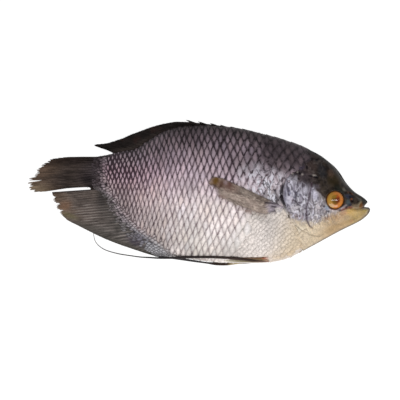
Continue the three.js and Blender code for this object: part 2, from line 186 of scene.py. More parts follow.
def through(stations):
    """A smooth curve through (x, value) stations, held at both ends, for arrays of x."""
    xs, values = (np.array(column, float) for column in zip(*stations))
    before = np.maximum(np.arange(len(xs)) - 1, 0)
    after = np.minimum(np.arange(len(xs)) + 1, len(xs) - 1)
    slopes = (values[after] - values[before]) / (xs[after] - xs[before])

    def curve(x):
        x = np.asarray(x, float)
        k = np.clip(np.searchsorted(xs, x, side="left") - 1, 0, len(xs) - 2)
        span = xs[k + 1] - xs[k]
        t = np.clip((x - xs[k]) / span, 0, 1)
        start = values[k] * (1 + 2 * t) * (1 - t) ** 2 + values[k + 1] * t * t * (3 - 2 * t)
        return start + span * t * (1 - t) * (slopes[k] * (1 - t) - slopes[k + 1] * t)

    return curve


back = through(BACK_EDGE)
belly = through(BELLY_EDGE)
half_girth = through(HALF_GIRTH)
median = through(MEDIAN_HEIGHT)
gill_cover_edge = through(GILL_COVER_EDGE)
lowest_row = through(LOWEST_ROW)


def path_of(points):
    """A smooth path through (x, y) points as a function of t from 0 to 1."""
    t = np.linspace(0, 1, len(points))
    x = through(list(zip(t, [p[0] for p in points])))
    y = through(list(zip(t, [p[1] for p in points])))
    return lambda at: (x(at), y(at))


def ease(x, low, high):
    """0 up to low, 1 from high on, and a smooth rise between them."""
    t = np.clip((np.asarray(x, float) - low) / (high - low), 0, 1)
    return t * t * (3 - 2 * t)


def fall(x, low, high):
    """1 up to low, 0 from high on, and a smooth fall between them."""
    return 1 - ease(x, low, high)


def mix(a, b, t):
    """Blend two colours, or two arrays of them, by t."""
    t = np.asarray(t, float)[..., None]
    return np.asarray(a, float) * (1 - t) + np.asarray(b, float) * t


def noise(x, y, cell, seed):
    """Smooth repeatable noise from -1 to 1, with features about cell millimetres across."""
    gx, gy = np.asarray(x, float) / cell, np.asarray(y, float) / cell
    ix, iy = np.floor(gx).astype(np.int64), np.floor(gy).astype(np.int64)
    fx, fy = ease(gx - ix, 0, 1), ease(gy - iy, 0, 1)

    def corner(i, j):
        mixed = (i * 374761393 + j * 668265263 + seed * 974634777) & 0xFFFFFFFF
        mixed = ((mixed ^ (mixed >> 13)) * 1274126177) & 0xFFFFFFFF
        return (mixed ^ (mixed >> 16)) / 2**31 - 1

    low = corner(ix, iy) * (1 - fx) + corner(ix + 1, iy) * fx
    high = corner(ix, iy + 1) * (1 - fx) + corner(ix + 1, iy + 1) * fx
    return low * (1 - fy) + high * fy


def rough_noise(x, y, cell, seed):
    """Noise with finer noise on it."""
    total = noise(x, y, cell, seed)
    total = total + 0.5 * noise(x + 17, y - 9, cell / 2.1, seed + 1)
    return (total + 0.25 * noise(x - 5, y + 31, cell / 4.3, seed + 2)) / 1.75


def blob(x, y, middle, size, turn=0.0, soft=0.5):
    """1 inside an ellipse and 0 outside, with a soft edge."""
    dx, dy = x - middle[0], y - middle[1]
    c, s = math.cos(turn), math.sin(turn)
    reach = np.hypot((dx * c + dy * s) / size[0], (dy * c - dx * s) / size[1])
    return fall(reach, 1 - soft, 1 + soft)


def distance_to(x, y, points):
    """Distance from (x, y) to an open line through points."""
    best = np.full(np.shape(x), 1e9)
    for (ax, ay), (bx, by) in zip(points, points[1:]):
        dx, dy = bx - ax, by - ay
        t = np.clip(((x - ax) * dx + (y - ay) * dy) / (dx * dx + dy * dy), 0, 1)
        best = np.minimum(best, np.hypot(x - ax - t * dx, y - ay - t * dy))
    return best


def stroke(x, y, points, width):
    """1 on a line and fading out over width."""
    return np.exp(-(distance_to(x, y, points) / width) ** 2)


def srgb(*colour):
    """A colour seen on screen, 0 to 255, as linear light."""
    value = np.array(colour, float) / 255
    return np.where(value <= 0.04045, value / 12.92, ((value + 0.055) / 1.055) ** 2.4)


def ramp(stops):
    """Colours along a number: stops are (number, red, green, blue), as seen on screen."""
    places = [place for place, *_ in stops]
    colours = np.array([srgb(*colour) for _, *colour in stops])

    def at(t):
        return np.stack([np.interp(t, places, colours[:, k]) for k in range(3)], axis=-1)

    return at


def lay_patches(colour, x, y, patches, soft):
    """Lay soft ellipses over a colour: screen colour, strength, middle, half size and turn of each."""
    for patch, strength, middle, size, turn in patches:
        colour = mix(colour, srgb(*patch), strength * blob(x, y, middle, size, turn, soft))
    return colour


def lay_lines(colour, x, y, lines):
    """Lay soft lines over a colour: screen colour, strength, width and points of each."""
    for line, strength, width, points in lines:
        colour = mix(colour, srgb(*line), strength * stroke(x, y, points, width))
    return colour


# ------------------------------------------------------------------ the body's surface


def thickness_at(x, fraction):
    """Half thickness at x, at a fraction of the depth from the belly to the back."""
    reach = np.where(fraction < WIDEST_AT, WIDEST_AT, 1 - WIDEST_AT)
    out = np.minimum(np.abs(fraction - WIDEST_AT) / reach, 1)
    return half_girth(x) * (1 - out**SECTION_POWER) ** SECTION_ROUNDING


def fraction_at(x, y):
    return (y - belly(x)) / (back(x) - belly(x))


def clipped_fraction(x, y):
    return np.clip(fraction_at(x, y), 0, 1)


def thickness_over(x, y):
    """Half thickness at a place of the flank."""
    return thickness_at(x, clipped_fraction(x, y))


def skin_point(x, fraction, side, lift):
    """A point of the skin, moved outwards by lift, as an array of x, y and z."""
    x, fraction = np.asarray(x, float), np.asarray(fraction, float)
    depth = back(x) - belly(x)
    inside = np.clip(fraction, 0.004, 0.996)
    step = 0.004
    slope = (thickness_at(x, inside + step) - thickness_at(x, inside - step)) / (depth * 2 * step)
    length = np.hypot(slope, 1)
    held = np.clip(fraction, 0, 1)
    y = belly(x) + depth * held - slope / length * lift
    z = median(x) + side * (thickness_at(x, held) + lift / length)
    return np.stack([x, y, np.maximum(z, 0)], axis=-1)


def skin_height(x, y, side=1):
    return skin_point(x, clipped_fraction(x, y), side, 0)[..., 2]


# ------------------------------------------------------------------ meshes and materials


def make_mesh(name, points, faces, attributes, material):
    """A mesh object from points in millimetres, quads or triangles, and point attributes."""
    mesh = bpy.data.meshes.new(name)
    mesh.from_pydata((points * MM).tolist(), [], faces)
    mesh.validate()
    for label, values in attributes.items():
        if label in ("tint", "rim"):
            layer = mesh.attributes.new(label, "FLOAT_COLOR", "POINT")
            if values.shape[1] == 3:
                values = np.hstack([values, np.ones((len(values), 1))])
            layer.data.foreach_set("color", np.clip(values, 0, 1).ravel())
        else:
            layer = mesh.attributes.new(label, "FLOAT_VECTOR", "POINT")
            layer.data.foreach_set("vector", np.asarray(values, float).ravel())
    mesh.shade_smooth()
    mesh.materials.append(material)
    piece = bpy.data.objects.new(name, mesh)
    bpy.context.collection.objects.link(piece)
    return piece


def grid_faces(rows, columns, wrap=False, start=0, flip=False):
    """Quads of a grid stored row by row; wrap joins its last column to its first."""
    across = columns if wrap else columns - 1
    r, c = np.meshgrid(np.arange(rows - 1), np.arange(across), indexing="ij")
    next_c = (c + 1) % columns
    quads = np.stack([r * columns + c, r * columns + next_c, (r + 1) * columns + next_c,
                      (r + 1) * columns + c], axis=-1).reshape(-1, 4) + start
    if flip:
        quads = quads[:, ::-1]
    return quads.tolist()


def weld(piece, distance=0.01):
    """Join the points that two halves of a mesh share."""
    work = bmesh.new()
    work.from_mesh(piece.data)
    bmesh.ops.remove_doubles(work, verts=work.verts, dist=distance * MM)
    bmesh.ops.recalc_face_normals(work, faces=work.faces)
    work.to_mesh(piece.data)
    work.free()


def new_material(name, roughness=0.4, specular=0.5, coat=0.0, coat_roughness=0.1):
    material = bpy.data.materials.new(name)
    material.use_nodes = True
    shader = material.node_tree.nodes["Principled BSDF"]
    shader.inputs["Roughness"].default_value = roughness
    shader.inputs["Specular IOR Level"].default_value = specular
    shader.inputs["Coat Weight"].default_value = coat
    shader.inputs["Coat Roughness"].default_value = coat_roughness
    return material, shader


class Nodes:
    """Short calls for making and joining shader nodes."""

    def __init__(self, material):
        self.tree = material.node_tree

    def add(self, kind, **values):
        node = self.tree.nodes.new(kind)
        for key, value in values.items():
            setattr(node, key, value)
        return node

    def join(self, source, target):
        self.tree.links.new(source, target)

    def attribute(self, name, output):
        return self.add("ShaderNodeAttribute", attribute_name=name).outputs[output]

    def noise(self, scale, detail=3.0):
        place = self.add("ShaderNodeTexCoord").outputs["Object"]
        node = self.add("ShaderNodeTexNoise")
        self.join(place, node.inputs["Vector"])
        node.inputs["Scale"].default_value = scale
        node.inputs["Detail"].default_value = detail
        return node.outputs["Fac"]

    def math(self, operation, *values):
        node = self.add("ShaderNodeMath", operation=operation)
        for socket, value in zip(node.inputs, values):
            if isinstance(value, (int, float)):
                socket.default_value = value
            else:
                self.join(value, socket)
        return node.outputs[0]

    def times(self, a, b):
        return self.math("MULTIPLY", a, b)

    def plus(self, total, *others):
        for other in others:
            total = self.math("ADD", total, other)
        return total

    def size_of(self, value):
        return self.math("ABSOLUTE", value)

    def range(self, value, low, high, to_low=0.0, to_high=1.0):
        """value eased from low..high to to_low..to_high."""
        node = self.add("ShaderNodeMapRange", interpolation_type="SMOOTHSTEP")
        self.join(value, node.inputs["Value"])
        for key, number in (("From Min", low), ("From Max", high), ("To Min", to_low), ("To Max", to_high)):
            node.inputs[key].default_value = number
        return node.outputs["Result"]

    def split(self, vector):
        node = self.add("ShaderNodeSeparateXYZ")
        self.join(vector, node.inputs[0])
        return node.outputs

    def scaled(self, vector, factor):
        node = self.add("ShaderNodeVectorMath", operation="SCALE")
        self.join(vector, node.inputs[0])
        self.join(factor, node.inputs["Scale"])
        return node.outputs["Vector"]

    def streaks(self, scale, detail):
        """Noise drawn out along an axis: scale is features a metre along x, y and z."""
        place = self.add("ShaderNodeTexCoord").outputs["Object"]
        stretched = self.add("ShaderNodeVectorMath", operation="MULTIPLY")
        self.join(place, stretched.inputs[0])
        stretched.inputs[1].default_value = scale
        node = self.add("ShaderNodeTexNoise")
        self.join(stretched.outputs["Vector"], node.inputs["Vector"])
        node.inputs["Scale"].default_value = 1.0
        node.inputs["Detail"].default_value = detail
        return node.outputs["Fac"]

    def mix_colour(self, factor, a, b):
        """A blend of two colours, each a socket or a fixed colour."""
        node = self.add("ShaderNodeMix", data_type="RGBA")
        factor_in, a_in, b_in, out = node.inputs[0], node.inputs[6], node.inputs[7], node.outputs[2]
        self.join(factor, factor_in)
        for value, target in ((a, a_in), (b, b_in)):
            if isinstance(value, tuple):
                target.default_value = value
            else:
                self.join(value, target)
        return out

    def bump(self, height, strength, distance):
        node = self.add("ShaderNodeBump")
        node.inputs["Strength"].default_value = strength
        node.inputs["Distance"].default_value = distance
        self.join(height, node.inputs["Height"])
        return node.outputs["Normal"]

    def tint(self):
        return self.attribute("tint", "Color")

    def grainy_tint(self, scale, amount):
        """The mesh's own colour made a little lighter and darker by noise."""
        grain = self.range(self.noise(scale, 4), 0.25, 0.75, 1 - amount, 1 + amount)
        return self.scaled(self.tint(), grain)

    def join_gloss(self, shader, gloss):
        """Dark skin is duller than pale skin."""
        parts = self.add("ShaderNodeSeparateColor")
        self.join(self.tint(), parts.inputs[0])
        level = self.range(parts.outputs[1], 0.01, 0.25, 0.15 * gloss, gloss)
        self.join(level, shader.inputs["Specular IOR Level"])


def skin_material(name, roughness, specular, coat, grain, bump_mm, see_through=False, amount=0.14,
                  coat_roughness=0.12):
    """Moist skin: the colour comes from the mesh, the fine grain from noise."""
    material, shader = new_material(name, roughness, specular, coat, coat_roughness)
    nodes = Nodes(material)
    if see_through:
        nodes.join(nodes.attribute("tint", "Alpha"), shader.inputs["Alpha"])
    nodes.join(nodes.grainy_tint(grain, amount), shader.inputs["Base Color"])
    nodes.join_gloss(shader, specular)
    fine = nodes.noise(grain * 1.7, 5)
    nodes.join(nodes.bump(fine, 0.6, bump_mm * MM), shader.inputs["Normal"])
    return material


BRIGHT_SILVER = (0.76, 0.74, 0.82, 1)
CRACK_COLOUR = (0.02, 0.016, 0.026, 1)


def scale_material(name):
    """A scale: a pale plate inside a dark margin, with fine growth rings, under moist slime.
    The margin is partly the scale's pigment and partly painted shade where the scales overlap.

    wear holds how far the skin is cracked, how much silver shows, and how broken the margin is.
    """
    material, shader = new_material(name, roughness=0.45, specular=0.35, coat=0.05, coat_roughness=0.16)
    nodes = Nodes(material)
    nodes.join_gloss(shader, 0.38)
    along, across, margin = nodes.split(nodes.attribute("plate", "Vector"))
    cracked, silvered, broken = nodes.split(nodes.attribute("wear", "Vector"))
    wide = nodes.math("DIVIDE", along, 0.74)
    tall = nodes.math("DIVIDE", across, 0.92)
    reach = nodes.math("SQRT", nodes.plus(nodes.times(wide, wide), nodes.times(tall, tall)))
    diamond = nodes.plus(nodes.size_of(along), nodes.size_of(across))
    edge = nodes.plus(nodes.times(reach, 0.55), nodes.times(diamond, 0.55))
    wobble = nodes.range(nodes.noise(620, 3), 0.3, 0.7, -0.1, 0.1)
    corner = nodes.range(nodes.size_of(along), 0.5, 0.95, 0.0, 0.22)
    ragged = nodes.plus(edge, wobble, margin, corner)
    gaps = nodes.times(broken, nodes.range(nodes.noise(260, 2), 0.42, 0.6))
    on_margin = nodes.times(nodes.range(ragged, 0.68, 1.0), nodes.math("SUBTRACT", 1.0, gaps))
    # Painted shade: the plate darker from its middle towards its margin.
    shaded = nodes.scaled(nodes.grainy_tint(420, 0.12), nodes.range(ragged, 0.1, 0.85, 1.1, 0.84))
    bands = nodes.range(nodes.streaks((190, 70, 150), 3), 0.47, 0.6)
    bright = nodes.mix_colour(nodes.times(silvered, bands), shaded, BRIGHT_SILVER)
    # Painted shade: the margin darker at the corners where the scales meet.
    rim_shade = nodes.range(nodes.size_of(along), 0.5, 0.95, 1.15, 0.6)
    rim = nodes.scaled(nodes.attribute("rim", "Color"), rim_shade)
    netted = nodes.mix_colour(on_margin, bright, rim)
    field = nodes.size_of(nodes.math("SUBTRACT", nodes.streaks((170, 110, 150), 2), 0.5))
    lines = nodes.times(cracked, nodes.range(field, 0.004, 0.05, 1.0, 0.0))
    nodes.join(nodes.mix_colour(lines, netted, CRACK_COLOUR), shader.inputs["Base Color"])
    rings = nodes.math("SINE", nodes.times(reach, 46.0))
    relief = nodes.plus(nodes.times(rings, 0.25), nodes.noise(1500, 3))
    nodes.join(nodes.bump(relief, 0.5, 0.12 * MM), shader.inputs["Normal"])
    return material


# ------------------------------------------------------------------ colours of the body

PALE_BY_DEPTH = ramp([
    (0.0, 196, 189, 184), (0.05, 206, 198, 193), (0.16, 220, 211, 207), (0.3, 232, 221, 219),
    (0.42, 236, 222, 222), (0.52, 230, 211, 216), (0.63, 206, 185, 195),
    (0.74, 182, 162, 173), (0.84, 150, 132, 142), (0.93, 112, 98, 104), (1.0, 62, 53, 54),
])
DARK_BY_DEPTH = ramp([
    (0.0, 142, 131, 127), (0.12, 162, 146, 145), (0.3, 146, 126, 130),
    (0.42, 138, 116, 122), (0.52, 110, 87, 96), (0.63, 80, 59, 70),
    (0.74, 62, 45, 54), (0.84, 48, 36, 43), (0.93, 38, 30, 34), (1.0, 28, 23, 25),
])
TAIL_SHADE = through([
    (-117, 0.5), (-104, 0.56), (-92, 0.64), (-76, 0.74), (-56, 0.84), (-34, 0.93), (-12, 1.0), (10, 1.0),
])
# Broad lighter and darker places of the flank: factor, middle, half size, turn. They are partly the flank's
# own colour and partly painted light and shade, such as the lighter strip along the belly's lower edge and
# the darker place just above it.
FLANK_SHADES = [
    (1.42, (42, 49), (20, 8), -0.2), (0.6, (75, 47), (10, 6), -0.2), (0.66, (46, 26), (14, 9), -0.3),
    (0.56, (73, -2), (9, 7), 0), (0.75, (33, -59), (9, 8), 0), (0.76, (62, -23.5), (11, 4.5), -0.35),
    (0.68, (-6, 51), (12, 9), 0), (0.72, (-33, 34), (12, 12), 0), (0.76, (-75, 1), (11, 8), 0),
    (0.84, (72, -40), (8, 10), 0), (1.22, (24, -31), (12, 7), 0), (0.82, (-8, 2), (9, 8), 0),
    (1.25, (-24, -57), (9, 6), -0.3), (1.25, (-58, -38), (10, 6), -0.7), (1.45, (6, -68), (20, 4), 0),
    (1.3, (-22, -60), (8, 5), -0.3), (0.8, (-35, -21), (12, 9), 0), (0.82, (-9, -36), (10, 8), 0),
]
BREAST = srgb(230, 221, 215)
THROAT = srgb(202, 183, 155)
NAPE = srgb(58, 50, 53)
SILVER = srgb(226, 220, 230)
# Near-black for painted shadow in the gill gap, under the tucked edge of the gill cover, in the pits and
# nostrils, and for the dark dots of the cheek.
SHADOW_INK = srgb(40, 33, 42)


def crinkle(x, y, cell, seed, sharp=4.5):
    """Worm-like ridges, 0 to 1."""
    bent_x = x + 0.4 * cell * noise(x, y, 1.6 * cell, seed + 3)
    bent_y = y + 0.4 * cell * noise(x, y, 1.6 * cell, seed + 5)
    field = noise(bent_x, bent_y, cell, seed) + 0.25 * noise(x, y, cell / 2.2, seed + 7)
    return np.clip(1 - np.abs(field) * sharp, 0, 1)


def lozenges(x, y, pitch, lean):
    """1 on the lines of a net of lozenges and 0 inside them."""
    one = np.sin(np.pi * (x + lean * y) / pitch)
    other = np.sin(np.pi * (x - lean * y) / pitch)
    return fall(np.abs(one * other), 0.02, 0.35)


def gill_gap_shadow(x, y):
    """1 where painted shadow darkens the gap behind the edge of the gill cover."""
    fraction = clipped_fraction(x, y)
    wide = blob(fraction, 0 * x, (0.53, 0), (0.09, 1), 0, 0.9)
    behind = gill_cover_edge(fraction) - x
    gap = ease(behind, -1.5, 0.2) * fall(behind, 0.5 + 2.2 * wide, 1.6 + 3.4 * wide)
    return gap * ease(fraction, 0.34, 0.46) * fall(fraction, 0.6, 0.72)


def breast_at(x, y):
    """0 on the flank and 1 on the breast, where the scales are small and faint."""
    return ease(x - 0.5 * (y + 50), 20, 50) * fall(y, -20, -10)


def flank_shade(x, y):
    """How much lighter or darker a place of the flank is, partly painted light and shade, with painted edge
    shade near the belly's edge.
    """
    shade = np.ones(np.shape(x))
    for factor, middle, size, turn in FLANK_SHADES:
        shade = shade * (1 + (factor - 1) * blob(x, y, middle, size, turn, 0.8))
    # Painted edge shade: darker and yellower along the belly's lower edge towards the head.
    edge = fall(fraction_at(x, y), 0.0, 0.1) * ease(x, 50, 75)
    return shade[..., None] * mix((1, 1, 1), (0.86, 0.8, 0.72), edge)


def body_tones(x, y):
    """The pale and the dark colour of the scales at a place on the flank."""
    fraction = clipped_fraction(x, y)
    crown = ease(fraction, 0.6, 1.0) * fall(x, -60, -8)
    patchy = fraction - (0.12 + 0.16 * ease(-x, 60, 90)) * crown + 0.035 * rough_noise(x, y, 26, 5)
    pale, dark = PALE_BY_DEPTH(patchy), DARK_BY_DEPTH(patchy)
    rear = fall(x, -80, 0)
    low = fall(y, -14, 4)
    shade = TAIL_SHADE(x) * (1 - 0.2 * low * fall(x - full_scales_end(y), 4, 40))
    shade = shade * (1 + 0.2 * rear * ease(y, 0, 26))
    rosy = rear * fall(fraction, 0.7, 0.9)
    pale = pale * (shade**1.3)[..., None] * mix((1, 1, 1), (1.02, 0.88, 0.92), rosy)
    dark = dark * (shade**3)[..., None] * mix((1, 1, 1), (0.95, 0.74, 0.85), rosy)
    breast = breast_at(x, y)
    pale = mix(pale, BREAST, 0.8 * breast)
    dark = mix(dark, BREAST * 0.85, ease(breast, 0.0, 0.5))
    blotch = rough_noise(x, y, 6, 57)
    warm = rough_noise(x, y, 14, 58)[..., None] * np.array([0.02, 0.01, -0.03])
    nape = ease(x, 20, 80) * ease(fraction, 0.6, 0.8)
    pale = mix(pale, NAPE * 2.2, 0.6 * nape) * (1 + 0.75 * nape * blotch)[..., None] * (1 + warm)
    dark = mix(dark, NAPE * 0.5, 0.6 * nape)
    shine = silver_at(x, y)
    dark = mix(dark, pale * 0.6, 0.55 * shine)
    pale = mix(pale, SILVER, 0.6 * np.clip(shine * (1 + 0.8 * rough_noise(x, y, 4, 51)), 0, 1))
    dark = mix(dark, pale * 0.6, 0.3 * blob(x, y, (0, -14), (34, 44), 0, 0.7))
    # The flank's broad tones, painted light and shade among them, on both colours.
    pale, dark = pale * flank_shade(x, y), dark * flank_shade(x, y)
    fade = ease(x - 0.3 * (y - 20), 44, 78) * ease(fraction, 0.66, 0.82)
    pale = mix(pale, NAPE * 2.2, 0.75 * fade)
    dark = mix(dark, NAPE * 1.1, 0.75 * fade)
    # Painted shadows: in the gap behind the gill cover, and under and below the pectoral fin lying on the
    # flank.
    shadow_under_fin = 0.55 * blob(x, y, (74, -6), (9, 5.5), -0.3, 0.6)
    shadow_below_fin = 0.16 * blob(x, y, (58, -27), (14, 5.5), -0.45, 0.6)
    gap = np.clip(0.95 * gill_gap_shadow(x, y) + (shadow_under_fin + shadow_below_fin), 0, 1)
    return mix(pale, SHADOW_INK * 0.6, gap), mix(dark, SHADOW_INK * 0.5, gap)


def silver_at(x, y):
    """1 on the silver patch behind the gill cover."""
    return blob(x, y, (68, 6), (26, 15), -0.45, 0.6) * ease(y + 0.45 * x, 12, 26)


def lattice_place(column, row):
    """x, y, side and depth fraction of a place in the lattice, counted in half pitches."""
    column, row = np.asarray(column, float), np.asarray(row, float)
    over = (row < 0) | (row > SCALE_ROWS)
    climb = np.where(row < 0, -row, np.where(row > SCALE_ROWS, 2 * SCALE_ROWS - row, row)) / SCALE_ROWS
    along = column / 2
    growth = (LAST_SCALE_X - FIRST_SCALE_X - SMALLEST_PITCH * SCALE_COLUMNS) / SCALE_COLUMNS**3
    ahead, behind = np.maximum(along, 0), np.minimum(along, 0)
    straight = FIRST_SCALE_X + SMALLEST_PITCH * ahead + growth * ahead**3
    straight = straight - SMALLEST_PITCH * (1 - np.exp(TAIL_SHRINK * behind)) / TAIL_SHRINK
    lean = ease(straight, -105, -30) * fall(straight, 45, 95)
    x = straight - SCALE_SWEEP * (1 - climb) ** 2 * lean
    height = climb - EDGE_CROWDING * np.sin(2 * np.pi * climb) / (2 * np.pi)
    y = lowest_row_or_belly(x) * (1 - height) + back(x) * height
    sway = ease(height, 0.02, 0.1) * fall(height, 0.9, 0.98)
    x = x + UNEVENNESS * (noise(x, y, 9, 61) + 0.6 * noise(x, y, 3.4, 63))
    y = y + UNEVENNESS * sway * (noise(x, y, 9, 62) + 0.6 * noise(x, y, 3.4, 64))
    return x, y, np.where(over, -1, 1), fraction_at(x, y)


def lowest_row_or_belly(x):
    return np.where(x < 5, lowest_row(x), belly(x))


def make_trunk(material):
    """The skin under the scales, from the tail root to inside the head."""
    along = np.linspace(-106.5, 104, 150)
    half = 64
    turn = np.arange(2 * half)
    side = np.where(turn <= half, 1, -1)
    climb = np.where(turn <= half, turn, 2 * half - turn) / half
    fraction = climb - 0.6 * np.sin(2 * np.pi * climb) / (2 * np.pi)
    x, f = np.meshgrid(along, fraction, indexing="ij")
    f = 0.5 + (f - 0.5) * (1 - 0.12 * ease(-x, 101, 106))
    inset = -0.35 - 1.6 * ease(x - gill_cover_edge(f), -6, 2) - 1.4 * ease(-x, 102, 106)
    points = skin_point(x, f, side[None, :], inset)
    y = belly(x) + (back(x) - belly(x)) * f
    pale, dark = body_tones(x, y)
    tail_t = np.clip((y - 8) / 25, 0, 1)
    bare = ease(-x, 99, 105)
    fin = tail_tones(tail_t, np.clip(-103 - x, 0, 70) / 66, x, y, ray_crest(TAIL_RAYS * tail_t))
    tint = mix(mix(dark, pale, 0.2), fin, bare)
    tint = mix(tint, SHEATH_SKIN(np.clip(-y, -40, 70)), (1 - bare) * past_full_scales(x, y))
    points, tint = points.reshape(-1, 3), tint.reshape(-1, 3)
    faces = grid_faces(len(along), 2 * half, wrap=True, flip=True)
    for ring, flip in ((0, False), (len(along) - 1, True)):
        loop = [ring * 2 * half + k for k in range(2 * half)]
        faces.append(loop[::-1] if flip else loop)
    return make_mesh("trunk_skin", points, faces, {"tint": tint}, material)


# Where the full scales end towards the tail and the anal fin, and where the small ones end.
FULL_SCALES_END = [
    (-92, 37), (-92, 26), (-91, 14), (-87.5, 3), (-80.5, -6), (-74.5, -13.5), (-68.5, -21), (-62.5, -29),
    (-55, -35.5), (-47, -42), (-38, -49), (-29, -57), (-22, -62),
]
SMALL_SCALES_END = [
    (-105.5, 36), (-106, 25), (-105.5, 14), (-104, 6), (-97, 1), (-91, -8), (-87.5, -18), (-82, -28),
    (-74, -37.5), (-64, -47), (-52, -56), (-42, -61.5), (-31, -65.5),
]
SHEATH_SKIN = ramp([
    (-40, 44, 37, 40), (-12, 46, 38, 41), (0, 66, 56, 60), (20, 78, 68, 74),
    (40, 76, 74, 82), (55, 104, 104, 108), (70, 130, 130, 132),
])


def full_scales_end(y):
    """x at which the full scales end, at a height y."""
    xs, ys = zip(*reversed(FULL_SCALES_END))
    return np.interp(y, ys, xs)


def past_full_scales(x, y):
    """1 where the full scales have ended, towards the tail and the anal fin."""
    return ease(full_scales_end(y) - x, -1.5, 1.5)


SCALE_RINGS = [0.0, 0.35, 0.6, 0.78, 0.9, 1.0]
SCALE_SPOKES = 18
SMALL_RINGS = [0.0, 0.5, 1.0]
SMALL_SPOKES = 10
SCALE_POWER = 1.22      # 1 would make the outline of a scale a lozenge and 2 an ellipse


def scale_template(spokes, rings):
    """Points of one scale as (along, across) with its margin at 1, and its faces.

    The rear half is a rounded lozenge and the front half runs on under the scales before it.
    The last ring is the skirt that closes the scale down to the skin.
    """
    angles = 2 * np.pi * np.arange(spokes) / spokes
    c, s = np.cos(angles), np.sin(angles)
    reach = (np.abs(c) ** SCALE_POWER + np.abs(s) ** SCALE_POWER) ** (-1 / SCALE_POWER)
    outline = np.stack([c * reach * np.where(c > 0, 1.16, 1.04), s * reach * 1.06], axis=-1)
    places = [np.zeros((1, 2))]
    for ring in rings[1:]:
        places.append(outline * ring)
    places.append(outline)
    faces = [(0, 1 + (k + 1) % spokes, 1 + k) for k in range(spokes)]
    for ring in range(len(rings) - 1):
        base = 1 + ring * spokes
        for k in range(spokes):
            n = (k + 1) % spokes
            faces.append((base + k, base + n, base + spokes + n, base + spokes + k))
    return np.concatenate(places), faces


class ScaleMesh:
    """Scales of one template, gathered into one mesh."""

    def __init__(self, spokes, rings):
        self.template, self.faces = scale_template(spokes, rings)
        self.skirt = len(self.template) - spokes
        self.points = []
        self.layers = {"tint": [], "rim": [], "plate": [], "wear": []}

    def add(self, points, **layers):
        self.points.append(points)
        for label, values in layers.items():
            self.layers[label].append(values)

    def build(self, name, material, flip=False):
        size = len(self.template)
        faces = [tuple(k + size * n for k in face) for n in range(len(self.points)) for face in self.faces]
        if flip:
            faces = [face[::-1] for face in faces]
        data = {label: np.concatenate(values) for label, values in self.layers.items()}
        return make_mesh(name, np.concatenate(self.points), faces, data, material)


def is_scaled(x, y, fraction, side):
    """Whether a full scale has its middle at this place."""
    nape = 5 * ease(fraction, 0.72, 0.86)
    low = fraction < 0.012 and x < 5
    ahead = gill_cover_edge(np.clip(fraction, 0, 1)) + 3.0 + nape
    if side < 0:
        return not low and -113 < x < ahead
    small = past_full_scales(x, y) > 0.5 or breast_at(x, y) > 0.75
    return not low and not small and x < ahead


def scale_height(x, fraction, along, across, tilt, skirt):
    """Height over the skin of the points of a scale whose middle is at x and fraction."""
    lift = SCALE_LIFT * (0.55 + 0.45 * ease(x, -95, 0)) * ease(abs(fraction - 0.5), 0.56, 0.36)
    lift = max(lift, LEAST_LIFT)
    height = lift * (1 - along) / 2 + tilt * 0.25 * across * lift
    height = height + 0.16 * lift * (1 - np.hypot(along, across) ** 2)
    height[skirt:] = -0.6
    front = along > 0.9
    height[front] = np.minimum(height[front], -0.1)
    on_head = max(0.0, x - gill_cover_edge(np.clip(fraction, 0, 1)) - 1.0)
    return height + min(0.55, 0.2 * on_head)


def margin_width(x, y, fraction):
    """How much more than usual of a scale its dark margin takes."""
    thin = 0.1 * fall(fraction, 0.3, 0.62) + 0.06 * breast_at(x, y)
    thick = 0.08 * ease(fraction, 0.8, 0.9) + 0.26 * fall(x, -88, -32)
    return thick - thin


def scale_wear(x, y, fraction):
    """How cracked, how silvery and how broken at its margin a scale is, at its points."""
    silver = silver_at(x, y)
    cracked = np.clip(silver * ease(x, 52, 66) + 0.35 * ease(x, 45, 75), 0, 1)
    broken = 0.55 - 0.3 * ease(fraction, 0.45, 0.75) - 0.5 * fall(x, -90, -40)
    broken = broken + 0.5 * silver
    broken = broken + 0.5 * ease(x - 0.3 * (y - 20), 30, 60) * ease(fraction, 0.5, 0.7)
    return np.stack([0.8 * cracked, silver, np.clip(broken, 0, 1)], axis=-1)


def make_scales(name, material, side_wanted, seed):
    """All scales of one flank as one mesh."""
    draw = random.Random(seed)
    scales = ScaleMesh(SCALE_SPOKES, SCALE_RINGS)
    edge_row = 0 if side_wanted > 0 else 1
    for column in range(-COLUMNS_BEYOND, 2 * SCALE_COLUMNS + COLUMNS_BEYOND):
        for row in range(edge_row, SCALE_ROWS + 1 - edge_row):
            if (column + row) % 2 == 0:
                continue
            x, y, _, fraction = (float(value) for value in lattice_place(column, row))
            size = 1 + draw.uniform(-0.06, 0.08)
            shift = draw.uniform(-0.11, 0.11), draw.uniform(-0.08, 0.08)
            tilt, shade, margin = draw.uniform(-0.25, 0.25), draw.gauss(0, 0.055), draw.gauss(0, 0.06)
            warm = draw.gauss(0, 0.012)
            if not is_scaled(x, y, fraction, side_wanted):
                continue
            along, across = scales.template[:, 0] * size, scales.template[:, 1] * size
            px, py, over, pf = lattice_place(column + along + shift[0], row + across + shift[1])
            height = scale_height(x, fraction, along, across, tilt, scales.skirt)
            pale, dark = body_tones(px, py)
            pale = pale * (1 + shade) * np.array([1 + warm, 1, 1 - warm])
            line = np.full(len(along), margin + margin_width(x, y, fraction))
            scales.add(skin_point(px, pf, over * side_wanted, height), tint=pale, rim=dark,
                       plate=np.stack([along, across, line], axis=-1), wear=scale_wear(px, py, pf))
    return scales.build(name, material, flip=side_wanted < 0)


# ------------------------------------------------------------------ head

